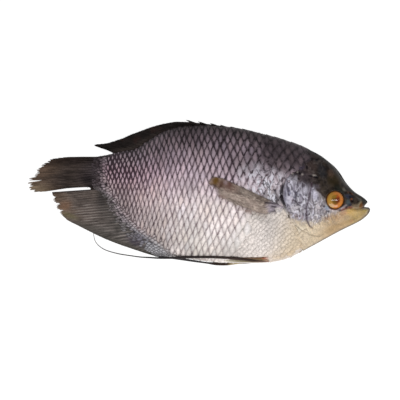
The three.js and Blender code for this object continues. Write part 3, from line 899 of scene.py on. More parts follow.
CHEEK_GROOVE = [
    (111.4, 9.8), (111, 4.5), (109.2, -2.2), (107.8, -8.9), (106.5, -14.3), (106, -21), (107.4, -27.7),
    (109.6, -32.5), (112.8, -34.8),
]
THROAT_LINE = [
    (88.2, -18.8), (89.5, -24.5), (92.2, -29), (97.6, -33.5), (102, -37), (107.4, -40.2), (113.6, -42.4),
    (120, -43),
]
MOUTH_LINE = [(166.5, -13.9), (162, -14.8), (158, -15.5), (153.5, -15.4), (150.5, -15.2)]
LIP_FOLD = [(163.4, -7.2), (161.2, -10.2), (159.3, -14)]
CHEEK_LINE = [(141.4, -16.9), (144, -15.9), (146.5, -14.8), (151.7, -14)]
BROW_LINE = [(116.5, 4), (119.4, 1.3), (124.8, -3.6)]
JAW_FOLD = [(112, -37), (124, -33), (137, -28), (150, -22)]
NOSTRILS = [(150.1, -0.3, 1.2), (151.9, -7.6, 1.5)]
# Pits of the sense organs on the nape: x, y, half width, half height.
PITS = [
    (102.5, 30.6, 2.6, 1.1), (107, 25.7, 0.9, 1.7), (97.6, 23.3, 0.9, 0.9), (99.6, 19.7, 0.9, 1.1),
    (111.2, 17.2, 1.3, 0.8), (115.7, 15.9, 2, 0.8), (117, 32.9, 1.3, 1), (94.6, 21.4, 1, 0.6),
    (89, 11.6, 1, 1.2),
]
# Painted highlights: pale glints on the wet edges beside the pits.
GLINTS = [(92.3, 19.3, 1.2, 0.7), (102.4, 18.6, 1.0, 0.8), (97.6, 20.9, 0.8, 0.6), (114.3, 17.8, 1.6, 0.6)]
CHEEK_DOTS = [(123.9, -12.9), (128.4, -17.9), (139.8, -17.1), (146.4, -13.8)]


def eye_reach(x, y):
    return np.hypot(x - EYE_AT[0], y - EYE_AT[1])


def crinkle_mask(x, y):
    """How far the skin of the gill cover and the cheek is wrinkled."""
    cover = blob(x, y, (99, -12), (13, 13), 0.15, 0.5)
    cheek = blob(x, y, (117, -16), (10, 9), 0.4, 0.5)
    throat = 0.7 * blob(x, y, (124, -25), (15, 7), 0.3, 0.5)
    return np.clip(cover + cheek + throat, 0, 1)


def wrinkles(x, y, seed):
    """Drawn-out ridges of wrinkled skin, 0 to 1."""
    return crinkle(1.3 * x + 0.3 * y, 0.8 * y - 0.2 * x, 3.5, seed, 3.4)


def head_relief(x, y, seed):
    """Height of the head's skin over the smooth body, in millimetres."""
    reach = eye_reach(x, y)
    rim = 0.85 * np.exp(-((reach - 10.2) / 1.1) ** 2)
    socket = -3.0 * fall(reach, 8.2, 9.6)
    groove = -0.95 * stroke(x, y, CHEEK_GROOVE, 0.75) + 0.45 * stroke(x + 1.9, y, CHEEK_GROOVE, 1.3)
    mouth = -0.7 * stroke(x, y, MOUTH_LINE, 0.7) - 0.8 * stroke(x, y, MOUTH_LINE[:2], 0.7)
    lip = 0.5 * stroke(x, y + 2.6, MOUTH_LINE[:4], 1.4) + 0.45 * stroke(x, y, LIP_FOLD, 1.5)
    folds = -0.5 * stroke(x + 1.9, y - 0.4, LIP_FOLD, 0.55) - 0.5 * stroke(x, y, CHEEK_LINE, 0.7)
    folds = folds - 0.2 * stroke(x, y, JAW_FOLD, 1.6) - 0.5 * stroke(x, y, THROAT_LINE, 0.8)
    pits = sum(-0.9 * blob(x, y, (px, py), (w, h), 0, 0.7) for px, py, w, h in PITS)
    nostrils = sum(-1.5 * np.exp(-(((x - px) ** 2 + (y - py) ** 2) / r**2) ** 1.5)
                   + 0.4 * np.exp(-((np.hypot(x - px, y - py) - 1.7 * r) / 0.6) ** 2)
                   for px, py, r in NOSTRILS)
    dots = sum(-0.5 * np.exp(-((x - px) ** 2 + (y - py) ** 2) / 1.1) for px, py in CHEEK_DOTS)
    worms = 0.5 * wrinkles(x, y, seed) * crinkle_mask(x, y)
    waves = 0.34 * rough_noise(x, y, 7.5, seed + 20) + 0.12 * rough_noise(x, y, 2.2, seed + 30)
    calm = ease(reach, 8, 12) * (1 - 0.6 * ease(x, 150, 168))
    return rim + socket + groove + mouth + lip + folds + pits + nostrils + dots + (worms + waves) * calm


# Where the dark top of the head ends and where the cream of the throat begins.
TOP_EDGE = through([
    (84, 18), (96, 12), (104, 8), (110, 7), (117, 3), (124, -4), (132, -12.5), (146, -14), (156, -12.5),
    (163, -12.5), (171, -12),
])
CREAM_EDGE = through([
    (84, -22), (98, -25), (108, -28), (116, -27), (125, -23), (134, -20), (144, -17.5), (171, -17.5),
])
FOREHEAD = srgb(52, 44, 38)
GILL_SILVER = srgb(134, 128, 140)
CHEEK_SILVER = srgb(152, 145, 151)
MUZZLE = srgb(134, 114, 90)
CHIN = srgb(168, 140, 102)
JAW = srgb(164, 138, 88)
# Patches of colour on the head: screen colour, strength, middle, half size, turn.
HEAD_PATCHES = [
    # gill cover
    ((122, 120, 144), 0.75, (88.5, -2.5), (4, 11), -0.1),
    ((204, 200, 214), 0.8, (91.2, 8), (1.6, 6), -0.2),
    ((184, 180, 192), 0.6, (95.5, 13), (1.8, 4), -0.2),
    ((106, 106, 126), 0.7, (96, -2), (4.2, 4), 0.3),
    ((142, 104, 118), 0.5, (90.9, -6), (1.7, 3), 0.2),
    ((208, 200, 206), 0.65, (96, -16.5), (8, 4.5), -0.3),
    ((202, 198, 212), 0.6, (105.3, 3), (2.2, 3.4), -0.3),
    ((168, 144, 144), 0.4, (99, -23), (5, 2), -0.2),
    # cheek
    ((190, 186, 204), 0.8, (114.2, -1.5), (3.4, 6.5), 0.45),
    ((92, 84, 96), 0.5, (116.5, 6), (3.4, 2.6), 0),
    ((202, 190, 194), 0.5, (118, -13.5), (6, 3.4), 0.2),
    ((116, 126, 146), 0.8, (126.6, -14.7), (2.8, 1.6), -0.6),
    ((206, 204, 184), 0.7, (127.5, -11.8), (1.2, 1.6), 0.4),
    ((204, 194, 192), 0.6, (132.6, -17.2), (3.4, 1.1), -0.2),
    ((96, 84, 74), 0.5, (123.5, -5), (4, 5.5), 0.6),
    ((132, 108, 88), 0.45, (135.5, -16.2), (5, 1.2), 0.1),
    # snout
    ((50, 55, 74), 0.85, (148.6, -3.3), (3.6, 1.9), -0.3),
    ((72, 86, 92), 0.7, (148.4, -9), (2.2, 3), 0),
    ((38, 38, 56), 0.85, (150.3, -11.5), (1.6, 1.3), 0),
    ((142, 80, 24), 0.8, (151.4, -6.8), (1.2, 1.7), 0),
    ((96, 54, 28), 0.7, (151, -0.2), (3.4, 0.9), -0.4),
    ((92, 92, 84), 0.5, (160.3, -6.4), (2.2, 1.5), -0.4),
    ((112, 70, 32), 0.9, (161.6, -11.6), (3.4, 2.5), 0.8),
    ((52, 34, 22), 0.85, (164.8, -10.4), (1.6, 3), -0.4),
    ((22, 26, 22), 0.95, (165.6, -8.4), (2.5, 2.4), -0.7),
    ((128, 110, 88), 0.6, (155, -12.2), (3, 1.6), 0.2),
    # jaw and throat
    ((232, 218, 196), 0.8, (98, -40), (10, 8), -0.3),
    ((200, 162, 88), 0.7, (151, -18.5), (6, 3.6), 0),
    ((190, 142, 112), 0.6, (143.8, -19.6), (3.4, 2), 0.2),
    ((178, 150, 92), 0.6, (160, -19.4), (6, 3.6), 0.4),
    ((160, 140, 72), 0.7, (166.2, -17.2), (2.8, 1.6), 0.3),
    ((168, 106, 84), 0.35, (151.7, -28), (2.2, 1.3), 0.5),
    ((160, 122, 84), 0.5, (139, -23), (6, 3.4), 0.4),
    ((172, 132, 104), 0.45, (128, -24.5), (4, 2.4), 0.4),
    # forehead and nape
    ((50, 40, 20), 0.7, (134, 13), (6, 6), 0),
    ((92, 84, 92), 0.6, (88, 36), (9, 5), -0.5),
    ((30, 34, 27), 0.75, (139, 3), (6, 3.4), -0.9),
    ((42, 44, 50), 0.6, (122, 22), (4, 8), 0.3),
    ((74, 66, 82), 0.8, (101.8, 26.2), (3.4, 2.8), 0),
    ((70, 57, 53), 0.6, (111, 26), (7, 6), 0.3),
    ((98, 92, 92), 0.5, (99.5, 36.5), (2.6, 2), 0),
    ((96, 90, 88), 0.5, (104.6, 37.2), (1.5, 3), 0.3),
    ((104, 102, 92), 0.6, (144.6, 3.6), (2, 1.4), -0.7),
    ((96, 74, 62), 0.5, (131, 20), (3, 4), 0.6),
]
# Lines on the head: screen colour, strength, width, points.
HEAD_LINES = [
    ((66, 47, 60), 0.8, 0.85, CHEEK_GROOVE[:-1]),
    ((124, 104, 94), 0.4, 0.85, CHEEK_GROOVE[-2:]),
    ((120, 106, 88), 0.6, 0.8, THROAT_LINE),
    ((54, 44, 42), 0.8, 1.1, BROW_LINE),
    ((112, 42, 36), 0.85, 1.0, CHEEK_LINE),
    ((150, 136, 110), 0.85, 0.9, [(161.4, -8.4), (159.6, -10.4), (158.2, -13)]),
    ((170, 154, 158), 0.7, 0.9, [(141, -15.2), (143.5, -13.9), (146, -12)]),
    ((112, 88, 58), 0.5, 0.6, MOUTH_LINE),
    ((70, 48, 34), 0.8, 0.6, MOUTH_LINE[:2]),
    ((140, 74, 60), 0.6, 0.7, [(130, -15.2), (133.5, -16.2), (138, -15.8)]),
    ((56, 52, 50), 0.95, 1.3, [(168.2, -14.6), (170, -15.4), (170.8, -17), (169.6, -20)]),
]


def lay_wrinkles(colour, x, y, seed, streaks, cream):
    """Painted highlights on the ridges and painted shade in the valleys of the wrinkled skin on the gill
    cover and the cheek.
    """
    mask = crinkle_mask(x, y)
    worms = ease(wrinkles(x, y, seed), 0.25, 0.7) * ease(streaks, -0.45, 0.2)
    valleys = ease(crinkle(x, y, 3.6, seed + 11, 3.6), 0.2, 0.7)
    ridge_highlight = mix(srgb(236, 234, 240), srgb(232, 220, 204), cream)
    colour = mix(colour, ridge_highlight, (0.4 + 0.35 * ease(x, 94, 104)) * mask * worms)
    valley_shade = mix(srgb(58, 50, 60), srgb(112, 96, 86), cream)
    return mix(colour, valley_shade, 0.7 * mask * valleys * (1 - 0.8 * worms))


def lay_scratches(colour, x, y, seed, side, top):
    """Dark scratches and silver flashes on the silver side, blots and pocks on the dark top."""
    scratch = ease(crinkle(1.5 * x, 0.8 * y, 5, seed + 15, 4.0), 0.25, 0.8)
    flash = ease(crinkle(1.6 * x, 0.6 * y, 5, seed + 17, 3.6), 0.3, 0.8)
    blots = ease(crinkle(x, y, 5, seed + 19, 4.0), 0.3, 0.9) * top
    pocks = ease(rough_noise(x, y, 3.4, seed + 21), 0.3, 0.6) * top
    colour = mix(colour, srgb(58, 50, 58), 0.7 * side * scratch)
    colour = mix(colour, srgb(216, 212, 226), 0.7 * side * flash * fall(x, 112, 126))
    colour = mix(colour, srgb(98, 90, 88), 0.35 * blots * fall(x, 118, 136))
    return mix(colour, srgb(24, 20, 20), 0.7 * pocks)


def lay_marks(colour, x, y):
    """Painted shade in the pits and nostrils, painted highlights beside the pits, and the dark dots of the
    head.
    """
    # Painted shade: the pits near-black.
    for px, py, w, h in PITS:
        colour = mix(colour, SHADOW_INK * 0.3, 0.9 * blob(x, y, (px, py), (1.2 * w, 1.2 * h), 0, 0.5))
    # Painted highlights beside the pits.
    for px, py, w, h in GLINTS:
        colour = mix(colour, srgb(188, 178, 170), 0.5 * blob(x, y, (px, py), (w, h), 0, 0.8))
    # Painted shade: the nostrils near-black.
    for px, py, r in NOSTRILS:
        colour = mix(colour, SHADOW_INK * 0.4, 0.9 * blob(x, y, (px, py), (r, r), 0, 0.4))
    for px, py in CHEEK_DOTS:
        colour = mix(colour, SHADOW_INK, 0.85 * blob(x, y, (px, py), (1.3, 1.1), 0.3, 0.6))
    return colour


def shade_head_edges(colour, x, y):
    """Darker skin round the eye, and painted edge shade along the outline under the throat and jaw and along
    the ridge of the head.
    """
    reach = eye_reach(x, y)
    upper = ease(y - EYE_AT[1], -6, 2)
    colour = mix(colour, srgb(34, 30, 22), (0.05 + 0.3 * upper) * fall(reach, 8.8, 10.6))
    colour = mix(colour, srgb(128, 84, 52), 0.6 * fall(reach, 8.6, 9.6))
    # Painted edge shade along the outline under the throat and jaw.
    edge = ease(-distance_to(x, y, HEAD_OUTLINE[:7]), -2.2, -0.4)
    colour = mix(colour, srgb(88, 74, 56), 0.85 * edge)
    # Painted edge shade along the ridge of the head.
    ridge = ease(-distance_to(x, y, HEAD_OUTLINE[12:]), -3.5, -0.4)
    return mix(colour, srgb(36, 37, 36), 0.7 * ridge)


def head_tint(x, y, seed):
    """Colour of the head's skin."""
    broad = rough_noise(x, y, 12, seed + 40)
    fine = rough_noise(x, y, 2.6, seed + 50)
    streaks = rough_noise(1.7 * x, 0.7 * y, 3, seed + 55)
    softness = 1.8 + 5.6 * fall(x, 100, 126)
    top = ease((y - TOP_EDGE(x) + 2.5 * broad + 3 * fine) / softness, -1, 1)
    cream = ease(CREAM_EDGE(x) - y + 4 * broad + 3.5 * fine, -6, 6)
    silver = mix(GILL_SILVER, CHEEK_SILVER, ease(x, 104, 116))
    silver = mix(silver, MUZZLE, ease(x, 138, 150)) * (1 + 0.5 * streaks + 0.2 * broad)[..., None]
    warm = mix(THROAT, mix(CHIN, JAW, ease(x, 142, 156)), ease(x, 112, 134))
    warm = warm * (1 + 0.12 * broad + 0.12 * fine)[..., None]
    dark = mix(NAPE, FOREHEAD, ease(x, 104, 124)) * (1 + 0.5 * broad + 0.9 * fine)[..., None]
    colour = mix(mix(silver, warm, cream), dark, top)
    colour = lay_patches(colour, x + 0.5 * fine, y + 0.5 * streaks, HEAD_PATCHES, 0.55)
    colour = lay_wrinkles(colour, x, y, seed, streaks, cream)
    side = (1 - top) * (1 - cream) * fall(x, 128, 140) * ease(x, 84, 88)
    colour = lay_scratches(colour, x, y, seed, side, top)
    below = ease(-24 - 0.62 * (x - 88) - y, 0, 4) * fall(x, 112, 124)
    colour = colour * (1 - 0.16 * below * lozenges(x, y, 4.2, 0.7))[..., None]
    colour = lay_marks(lay_lines(colour, x, y, HEAD_LINES), x, y)
    colour = shade_head_edges(colour, x, y)
    return np.clip(colour * (1 + 0.12 * fine)[..., None], 0, 1)


def outline_by_length(points, count):
    """count places evenly spread along a smooth path through points."""
    smooth_x, smooth_y = path_of(points)(np.linspace(0, 1, 1200))
    length = np.concatenate([[0], np.cumsum(np.hypot(np.diff(smooth_x), np.diff(smooth_y)))])
    at = np.linspace(0, length[-1], count)
    return np.interp(at, length, smooth_x), np.interp(at, length, smooth_y)


def head_steepness(x, y):
    """How much longer than its plan the head's skin is at a place, from its slopes."""
    step = 0.05
    slope_x = (thickness_over(x + step, y) - thickness_over(x - step, y)) / (2 * step)
    slope_y = (thickness_over(x, y + step) - thickness_over(x, y - step)) / (2 * step)
    return np.sqrt(1 + np.clip(slope_x, -3, 3) ** 2 + np.clip(slope_y, -3, 3) ** 2)


HEAD_ROWS = 230
HEAD_COLUMNS = 190
# Strips that tuck the rear edge of the gill cover in: how far behind the edge and how deep. They are painted
# darker than the edge above them, as shade under the cover's edge.
TUCKED_STRIPS = ((2.5, 2.2), (0.35, 0.9))


def make_head(material):
    """Both sides of the head as one closed skin, from the gill cover to the open mouth."""
    out_x, out_y = outline_by_length(HEAD_OUTLINE, HEAD_ROWS)
    climb = np.linspace(0, 1, HEAD_ROWS)
    rear_x = gill_cover_edge(climb)
    rear_y = belly(rear_x) + (back(rear_x) - belly(rear_x)) * climb
    along = np.linspace(0, 1, HEAD_COLUMNS) ** 0.9
    x = rear_x[:, None] + (out_x - rear_x)[:, None] * along[None, :]
    y = rear_y[:, None] + (out_y - rear_y)[:, None] * along[None, :]
    inside = distance_to(x, y, list(zip(out_x[::2], out_y[::2])))
    rounding = np.sqrt(np.clip(1 - (1 - np.clip(inside / 4.5, 0, 1)) ** 2, 0, 1))
    thick = thickness_over(x, y)
    closed = np.maximum(thick, 0.55 * half_girth(x)) * rounding
    thick = thick + (closed - thick) * ease(x, 146, 160)
    flap = ease(climb, 0.12, 0.3) * fall(climb, 0.66, 0.8)
    lip = (0.25 + 1.0 * flap)[:, None] * fall(along, 0, 0.35)[None, :]
    gap = (ease(climb, 0.36, 0.46) * fall(climb, 0.62, 0.74))[:, None]
    tuck_shade = (0.55 + 0.35 * ease(climb, 0.5, 0.75))[:, None, None]
    columns = HEAD_COLUMNS + len(TUCKED_STRIPS)
    points, tints, faces = [], [], []
    for side, seed in ((1, 100), (-1, 150)):
        relief = head_relief(x, y, seed) * ease(inside, 0.0, 2.2)
        rise = (relief + lip * ease(inside, 0, 2.5)) / head_steepness(x, y)
        z = np.where(inside < 1e-6, median(x), median(x) + side * (thick + rise))
        strips = []
        for behind, drop in TUCKED_STRIPS:
            strip_x = rear_x - behind
            strip = skin_point(strip_x, clipped_fraction(strip_x, rear_y), side, -drop)
            strips.append(strip[:, None, :])
        strips.append(np.stack([x, y, np.maximum(z, 0)], axis=-1))
        tint = head_tint(x, y, seed)
        # Painted shade: the tucked strips darker than the edge above them, near-black in the gill gap.
        dark = mix(tint[:, :1] * tuck_shade, SHADOW_INK, np.repeat(gap, len(TUCKED_STRIPS), axis=1))
        faces.extend(grid_faces(HEAD_ROWS, columns, start=len(points) * HEAD_ROWS * columns, flip=side > 0))
        points.append(np.concatenate(strips, axis=1).reshape(-1, 3))
        tints.append(np.concatenate([dark, tint], axis=1).reshape(-1, 3))
    piece = make_mesh("head_skin", np.concatenate(points), faces, {"tint": np.concatenate(tints)}, material)
    weld(piece)
    return piece


# ------------------------------------------------------------------ eyes

IRIS = srgb(196, 118, 44)
IRIS_GOLD = srgb(172, 128, 42)
IRIS_EDGE = srgb(140, 82, 36)
PUPIL_OLIVE = srgb(108, 78, 4)
PUPIL_RUST = srgb(108, 40, 4)
PUPIL_GLOW = srgb(196, 78, 8)
PUPIL_GLEAM = srgb(150, 112, 12)
EYE_RINGS = 46
EYE_SPOKES = 96
EYE_SKIRT = 2.0         # how deep the ball runs on below its rim


def make_eye(name, node, side, material):
    """A moist ball: amber iris round a shallow olive and rust-brown pupil."""
    radius = np.linspace(0, 1, EYE_RINGS)[:, None] * EYE_RADIUS * 0.97
    angle = (2 * np.pi * np.arange(EYE_SPOKES) / EYE_SPOKES)[None, :]
    x, y = radius * np.cos(angle), radius * np.sin(angle)
    dome = EYE_DOME * np.sqrt(np.clip(1 - (radius / (EYE_RADIUS * 1.02)) ** 2, 0, 1)) + 0 * x
    pupil_x, pupil_y = x - 0.2, y - 0.6
    reach = np.hypot(pupil_x / 0.92, pupil_y)
    wander = 0.4 * noise(3 * np.cos(angle), 3 * np.sin(angle), 1.0, 9)
    pupil = fall(reach + wander, PUPIL_RADIUS - 1.8, PUPIL_RADIUS + 0.5)
    dome = dome + 0.1 * np.exp(-((reach - PUPIL_RADIUS - 0.4) / 0.7) ** 2)
    streaks = noise(14 * np.cos(angle) + 0 * radius, 14 * np.sin(angle) + 0.5 * radius, 1.0, 4)
    gold = ease(-x + 0.2 * np.abs(y), 0.5, 6)
    colour = mix(IRIS, IRIS_GOLD, gold) * (1 + 0.12 * streaks)[..., None]
    colour = mix(colour, IRIS_EDGE, 0.7 * ease(radius + 0 * x, EYE_RADIUS - 1.6, EYE_RADIUS - 0.2))
    inner = mix(PUPIL_OLIVE, PUPIL_RUST, ease(pupil_x - 0.5 * np.abs(pupil_y), -3.6, 1.6))
    inner = mix(inner, PUPIL_GLOW, 0.6 * blob(pupil_x, pupil_y, (2.0, 3.2), (1.8, 1.4), 0.5, 0.8))
    inner = mix(inner, PUPIL_GLEAM, 0.8 * blob(pupil_x, pupil_y, (-1.6, 3.0), (2.6, 1.6), 0.3, 0.8))
    colour = mix(colour, inner, pupil)
    tilt = side * EYE_TILT
    base = skin_height(*EYE_AT, side) - side * EYE_SINK
    px = x * math.cos(tilt) + side * dome * math.sin(tilt)
    pz = -x * math.sin(tilt) + side * dome * math.cos(tilt)
    points = np.stack([px + EYE_AT[0], y + EYE_AT[1], pz + base], axis=-1).reshape(-1, 3)
    count = len(points)
    skirt = points[-EYE_SPOKES:] - np.array([0, 0, side * EYE_SKIRT])
    points = np.concatenate([points, skirt])
    faces = grid_faces(EYE_RINGS, EYE_SPOKES, wrap=True, flip=side > 0)
    faces += grid_faces(2, EYE_SPOKES, wrap=True, start=count - EYE_SPOKES, flip=side > 0)
    bottom = list(range(count, count + EYE_SPOKES))
    faces.append(bottom if side < 0 else bottom[::-1])
    tint = np.concatenate([colour.reshape(-1, 3), np.broadcast_to(IRIS_EDGE, (EYE_SPOKES, 3))])
    piece = make_mesh(name, points, faces, {"tint": tint}, material)
    weld(piece, 0.001)
    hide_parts(node)
    return piece


# ------------------------------------------------------------------ fins


def ray_profile(phase):
    """1 on the middle of a ray and 0 between two rays."""
    return (0.5 - 0.5 * np.cos(2 * np.pi * phase)) ** 1.6


def ray_crest(phase):
    """The thin line along the middle of a ray."""
    return np.exp(-((phase % 1 - 0.5) / 0.16) ** 2)


def make_fin(name, material, root, tip, height, tones, rays, seed, half, pleat, notch, samples, rings,
             tears=(), branch_at=(0.42, 0.74), bow=0.0, calm=2.0):
    """A fin: rays that branch outwards, thin skin between them, and a ragged margin.

    root and tip give the ends of the ray at t from 0 to 1. height gives the lowest and highest
    z at (t, out, x, y, half), and tones gives the colour. half is half the thickness of a ray,
    pleat how far the skin folds, and notch how ragged the margin is, which is even beyond t =
    calm. tears are (t, width, depth) splits in it. branch_at says how far out the rays branch,
    and bow how much they bend.
    """
    draw = random.Random(seed)
    count = rays * samples + 1
    t = np.linspace(0, 1, count)
    out = np.linspace(0, 1, rings + 1)
    ray_length = np.array([1 - notch * draw.random() for _ in range(rays + 2)])
    uneven = np.interp(t * rays, np.arange(rays + 2) - 0.5, ray_length)
    single, double, quadruple = (ray_profile(k * t * rays) for k in (1, 2, 4))
    fringe = notch * (0.5 * (1 - double) + 0.3 * (1 - quadruple) + 0.3 * noise(t * rays * 5, 0 * t, 1, seed))
    ragged = ease(np.minimum(t, 1 - t), 0.01, 0.12) * (1 - 0.85 * ease(t, calm, calm + 0.15))
    reach = 1 + (uneven - fringe + 0.7 * notch - 1) * ragged
    for place, width, depth in tears:
        reach = reach - depth * np.clip(1 - np.abs(t - place) / width, 0, 1) ** 0.8
    grid_t = np.broadcast_to(t[:, None], (count, rings + 1))
    grid_out = out[None, :] * reach[:, None]
    (root_x, root_y), (tip_x, tip_y) = root(t), tip(t)
    swing = bow * np.sin(np.pi * grid_out)
    x = root_x[:, None] + (tip_x - root_x)[:, None] * grid_out + swing * (tip_y - root_y)[:, None]
    y = root_y[:, None] + (tip_y - root_y)[:, None] * grid_out - swing * (tip_x - root_x)[:, None]
    first = fall(grid_out, branch_at[0] - 0.08, branch_at[0] + 0.08)
    last = ease(grid_out, branch_at[1] - 0.08, branch_at[1] + 0.08)
    middle = (1 - first) * (1 - last)
    rib = single[:, None] * first + double[:, None] * middle + quadruple[:, None] * last
    crests = [ray_crest(k * t * rays)[:, None] for k in (1, 2, 4)]
    crest = crests[0] * first + crests[1] * middle + 0.6 * crests[2] * last
    thick = half * (0.3 + 0.7 * rib) * (1 - 0.55 * grid_out)
    joints = 0.06 * half * rib * np.sin(grid_out * 190 + 3 * single[:, None])
    folds = pleat * (single[:, None] - 0.5) * np.sin(np.pi * np.minimum(0.15 + grid_out, 0.8))
    drift = 0.5 * pleat * rough_noise(grid_t * 9, grid_out * 3, 1, seed + 3)
    low, high = height(grid_t, grid_out, x, y, thick)
    top = np.stack([x, y, high + joints + folds + drift], axis=-1)
    bottom = np.stack([x, y, np.maximum(low - joints + folds + drift, 0.05)], axis=-1)
    top[..., 2] = np.maximum(top[..., 2], bottom[..., 2] + 0.12)
    tint = tones(grid_t, grid_out, x, y, crest)
    loop = np.concatenate([top, bottom[:, ::-1]], axis=1)
    loop_tint = np.concatenate([tint, tint[:, ::-1]], axis=1)
    width = loop.shape[1]
    faces = grid_faces(count, width, wrap=True)
    for row in (0, count - 1):
        for k in range(rings):
            a, b = row * width + k, row * width + k + 1
            c, d = row * width + width - 2 - k, row * width + width - 1 - k
            faces.append([a, b, c, d] if row == 0 else [d, c, b, a])
    tints = loop_tint.reshape(-1, loop_tint.shape[-1])
    piece = make_mesh(name, loop.reshape(-1, 3), faces, {"tint": tints}, material)
    weld(piece, 0.0005)
    return piece


def sagging(root, tip_height):
    """Heights of a fin that leaves the median plane and sags towards tip_height(t)."""
    def height(t, out, x, y, half):
        start = median(root(t)[0])
        middle = start + (tip_height(t) - start) * out**1.3
        low = np.maximum(middle - half, 0.45)
        return low, low + 2 * half
    return height


TAIL_RAYS = 16


def tail_tones(t, out, x, y, crest):
    """Colour of the tail fin."""
    grain = rough_noise(x * 0.14, y, 1.1, 21)
    wide = rough_noise(x * 0.3, y * 0.8, 7, 25)
    colour = mix(srgb(62, 53, 49), srgb(66, 58, 60), fall(out, 0.0, 0.45))
    colour = mix(colour, srgb(92, 75, 63), ease(out, 0.5, 0.95))
    colour = mix(colour, srgb(28, 21, 20), 0.75 * ease(y - 0.06 * (x + 120), 25, 33))
    colour = colour * (1 + 0.7 * grain + 0.25 * wide + 0.2 * crest)[..., None]
    corner = ease(-x, 142, 166) * fall(y, 4, 14)
    colour = mix(colour, srgb(138, 120, 98) * (1 + 0.4 * grain)[..., None], 0.6 * corner)
    blot = np.clip(blob(x, y, (-111, 13), (7, 4.5), 0, 0.8) + blob(x, y, (-107, 5), (6.5, 3), 0, 0.6), 0, 1)
    return mix(colour, srgb(26, 21, 23), 0.8 * blot)


def make_tail_fin(material):
    root = path_of([(-101, 3.2), (-101, 36.7)])
    tip = path_of([
        (-108.8, 3.4), (-112.5, 6.1), (-139, 4.4), (-152, 2.1), (-163, 1.5), (-170, 3.6), (-172.8, 8.5),
        (-172, 14), (-166, 19), (-162.2, 23.4), (-159.6, 27.4), (-154, 31.5), (-147, 35), (-136, 36.4),
        (-118, 36.8),
    ])

    def height(t, out, x, y, half):
        body = thickness_over(x, y) - 0.3 - 1.2 * fall(-x, 103, 107)
        thick = half + np.clip(body - 0.3, 0, 6) * fall(-x, 112, 122)
        low = np.maximum(median(x) - thick, 0.45)
        return low, low + 2 * thick

    return make_fin("tail_fin", material, root, tip, height, tail_tones, rays=TAIL_RAYS, seed=31, half=0.6,
                    pleat=0.22, notch=0.08, samples=18, rings=64,
                    tears=((0.472, 0.014, 0.2), (0.335, 0.012, 0.04)), branch_at=(0.3, 0.6))


ANAL_PATCHES = [
    ((132, 96, 72), 0.45, (-135, -12.5), (6, 4.5), 0.3),
    ((104, 98, 66), 0.5, (-131, -22.5), (8, 2.6), -0.35),
    ((60, 54, 70), 0.6, (-64, -48), (9, 4), -0.45),
]


def anal_tones(t, out, x, y, crest):
    """Colour of the anal fin, with a pale line along each ray."""
    grain = rough_noise(x * 0.22, y, 1.2, 22)
    wide = rough_noise(x * 0.4, y, 9, 26)
    broken = 0.6 + 0.7 * noise(x * 0.4, y, 3, 27)
    colour = mix(srgb(92, 82, 77), srgb(82, 77, 74), ease(t, 0.3, 0.6))
    colour = mix(colour, srgb(98, 82, 70), ease(out, 0.55, 0.95) * fall(t, 0.25, 0.5))
    colour = mix(colour, srgb(38, 34, 35), 0.7 * fall(t, 0.0, 0.05))
    colour = colour * (1 + 0.6 * grain + 0.25 * wide)[..., None]
    colour = mix(colour, srgb(62, 61, 60), 0.6 * fall(out, 0.2, 0.6) * ease(t, 0.15, 0.3))
    lines = crest * broken * ease(t, 0.08, 0.25) * (0.35 + 0.65 * ease(out, 0.1, 0.5))
    colour = mix(colour, srgb(160, 149, 144), np.clip(0.65 * lines, 0, 1))
    margin = ease(out, 0.6, 1.0) * ease(t, 0.3, 0.5)
    colour = mix(colour, srgb(50, 47, 41), 0.6 * margin)
    colour = lay_patches(colour, x, y, ANAL_PATCHES, 0.7)
    under_tail = blob(x, y, (-97, -4), (6, 8), 0, 0.8)
    return mix(colour, srgb(52, 49, 49), 0.8 * under_tail)


def make_anal_fin(material):
    root = path_of([
        (-101, 4.4), (-90, -3), (-80, -14), (-69, -25), (-55, -35), (-41, -44), (-27, -52), (-12, -60),
    ])
    tip = path_of([
        (-148.4, 1.2), (-146.6, -8.5), (-142, -17.5), (-134.5, -26.1), (-117.5, -35.1), (-93.5, -46.6),
        (-69.5, -55.4), (-40, -64.2), (-20, -66.4),
    ])
    tip_height = through([(0, 2.4), (0.5, 2.2), (0.66, 4.2), (0.8, 10), (0.9, 17), (1, 21)])
    return make_fin("anal_fin", material, root, tip, sagging(root, tip_height), anal_tones, rays=30, seed=33,
                    half=0.5, pleat=0.14, notch=0.05, samples=11, rings=84,
                    tears=((0.07, 0.02, 0.05), (0.16, 0.015, 0.05), (0.25, 0.02, 0.05)),
                    branch_at=(0.8, 0.95), calm=0.25)


def dorsal_tones(t, out, x, y, crest):
    """Colour of the folded dorsal fin."""
    grain = rough_noise(x * 0.3, y, 1.4, 23)
    wide = rough_noise(x, y, 9, 28)
    colour = mix(srgb(66, 58, 54), srgb(32, 28, 27), ease(out, 0.05, 0.5))
    colour = mix(colour, srgb(62, 42, 38), 0.35 * ease(wide, 0.2, 0.7))
    return colour * (1 + 0.5 * grain + 0.12 * crest)[..., None]


def make_dorsal_fin(material):
    root = path_of([
        (-83, 38.2), (-72, 39.5), (-60, 42), (-52, 48), (-42, 54), (-30, 60), (-14, 63.5), (2, 64.5),
        (22, 63), (44, 61),
    ])
    tip = path_of([
        (-99, 45.4), (-106, 48.7), (-92, 50.8), (-78, 55.2), (-64, 60.6), (-46, 67), (-27, 71.1), (-11, 71.2),
        (10, 69), (36, 65.4),
    ])
    tip_height = through([(0, 10), (0.12, 7), (0.4, 14), (0.7, 21), (1, 23.5)])
    return make_fin("dorsal_fin", material, root, tip, sagging(root, tip_height), dorsal_tones, rays=24,
                    seed=35, half=0.7, pleat=0.12, notch=0.04, samples=11, rings=44, bow=0.04)


